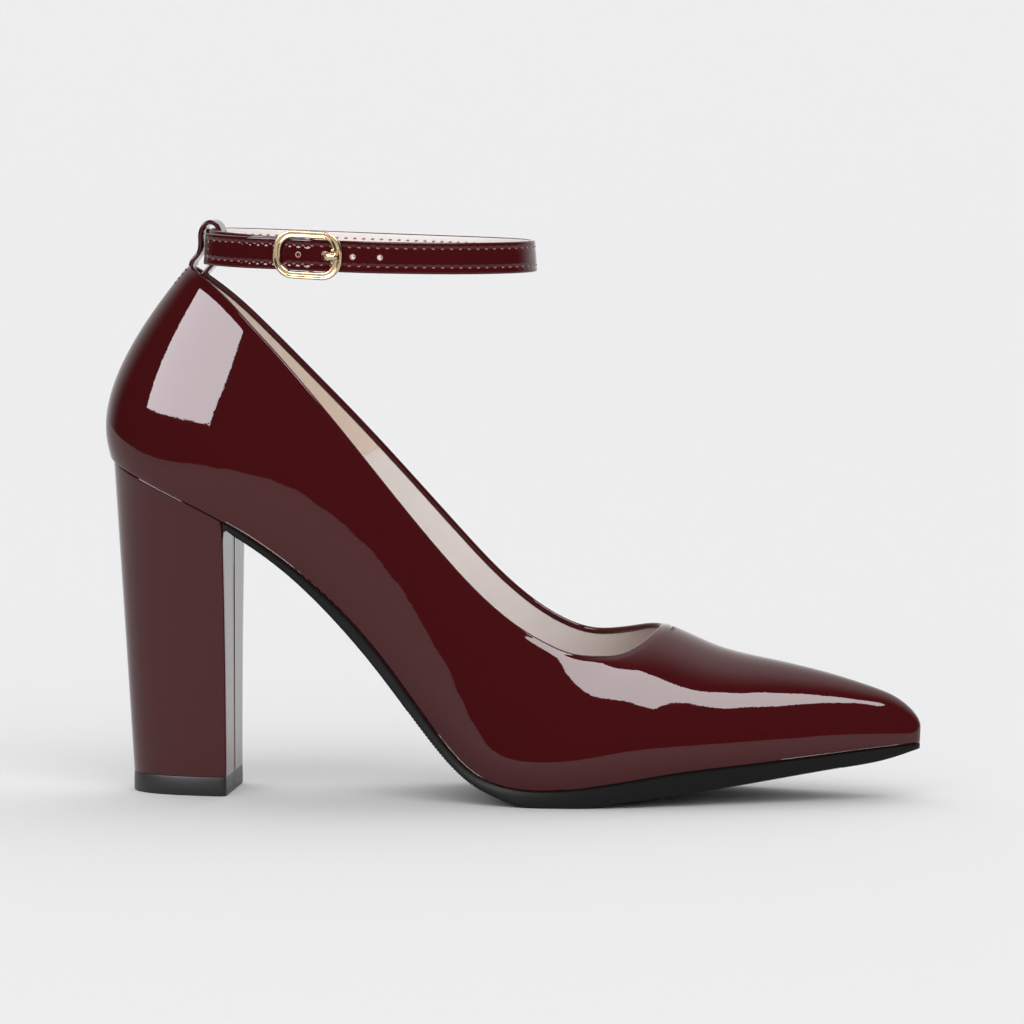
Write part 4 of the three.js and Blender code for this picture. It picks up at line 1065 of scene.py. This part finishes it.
# Floor, light and camera
# A pale studio floor to the horizon, the photograph's view, two softboxes that show in the gloss,
# a bright wall behind, and a wide overhead fill that gives the floor its soft contact shadow.
camera_place = Vector((292.33, -1883.42, 227.68)) * MM
camera_aim = Vector((91.05, 0, 78.61)) * MM
camera_data = bpy.data.cameras.new("camera")
camera_data.sensor_width = 36
camera_data.lens = 36 * 6840 / 1024
camera_data.clip_end = 400
camera = bpy.data.objects.new("camera", camera_data)
camera.location = camera_place
camera.rotation_euler = (camera_aim - camera_place).to_track_quat("-Z", "Y").to_euler()
bpy.context.scene.collection.objects.link(camera)
bpy.context.scene.camera = camera
bpy.context.scene.view_settings.view_transform = "Standard"

WALL_GLOW, DARK_GLOW = 1.0, 0.03
world = bpy.data.worlds.new("studio")
bpy.context.scene.world = world
world.use_nodes = True
studio = world.node_tree
back_and_up = add_node(studio, "ShaderNodeVectorMath", operation="DOT_PRODUCT",
                       Vector=add_node(studio, "ShaderNodeTexCoord").outputs["Generated"])
back_and_up.inputs[1].default_value = (0, 1, 0.45)
behind = add_node(studio, "ShaderNodeMapRange", Value=back_and_up.outputs["Value"],
                  interpolation_type="SMOOTHSTEP",
                  From_Min=0.25, From_Max=0.80, To_Min=DARK_GLOW, To_Max=WALL_GLOW)
studio.links.new(behind.outputs["Result"], studio.nodes["Background"].inputs["Color"])

# A rectangular light that faces the shoe; toward and along are directions from the shoe
SHOE_MIDDLE = np.array([0.07, -0.02, 0.08])


def softbox(name, toward, along, size, distance, glow_level, colour):
    toward = unit(np.array(toward, float))
    along = np.array(along, float)
    along = unit(along - toward * (along @ toward))
    light = bpy.data.lights.new(name, "AREA")
    light.shape = "RECTANGLE"
    light.size, light.size_y = size
    light.energy = glow_level * np.pi * size[0] * size[1]
    light.color = colour
    lamp = bpy.data.objects.new(name, light)
    place = SHOE_MIDDLE + toward * distance
    across = np.cross(toward, along)
    lamp.matrix_world = Matrix([
        [along[k], across[k], toward[k], place[k]] for k in range(3)] + [[0, 0, 0, 1]])
    lamp.visible_diffuse = False
    lamp.visible_camera = False
    bpy.context.scene.collection.objects.link(lamp)


# A wide soft light that shows in no gloss
def fill_light(name, toward, energy, spread):
    light = bpy.data.lights.new(name, "SUN")
    light.energy = energy
    light.angle = np.radians(spread)
    lamp = bpy.data.objects.new(name, light)
    lamp.rotation_euler = Vector(toward).to_track_quat("Z", "Y").to_euler()
    lamp.visible_glossy = False
    bpy.context.scene.collection.objects.link(lamp)


# Direction from the shoe at an azimuth from the camera's side towards the toe, and an elevation
def facing(azimuth, elevation):
    turn, lift = np.radians(azimuth), np.radians(elevation)
    return [np.sin(turn) * np.cos(lift), -np.cos(turn) * np.cos(lift), np.sin(lift)]


softbox("side_softbox", facing(-47, 29), (0.68, -0.73, -0.07), (1.42, 0.84), 2.0, 16, (1, 0.93, 0.97))
softbox("front_softbox", facing(36, 60), (0.40, -0.07, -0.15), (1.45, 1.05), 2.4, 13, (1, 0.93, 0.95))
fill_light("overhead_fill", (0, 0, 1), 1.12, 150)
fill_light("front_fill", facing(10, 29), 2.2, 80)

floor_material, floor_tree, floor_shader = new_material("studio_floor_paint")
floor_shader.inputs["Base Color"].default_value = hex_color("#e3e3e4")
floor_shader.inputs["Roughness"].default_value = 0.95
floor_shader.inputs["Specular IOR Level"].default_value = 0.1
floor_mesh = bpy.data.meshes.new("studio_floor")
FLOOR_REACH = 60
corners = [(x * FLOOR_REACH, y * FLOOR_REACH, 0) for x, y in ((-1, -1), (1, -1), (1, 1), (-1, 1))]
floor_mesh.from_pydata(corners, [], [(0, 1, 2, 3)])
floor = bpy.data.objects.new("studio_floor", floor_mesh)
floor_mesh.materials.append(floor_material)
bpy.context.scene.collection.objects.link(floor)

bpy.context.view_layer.update()
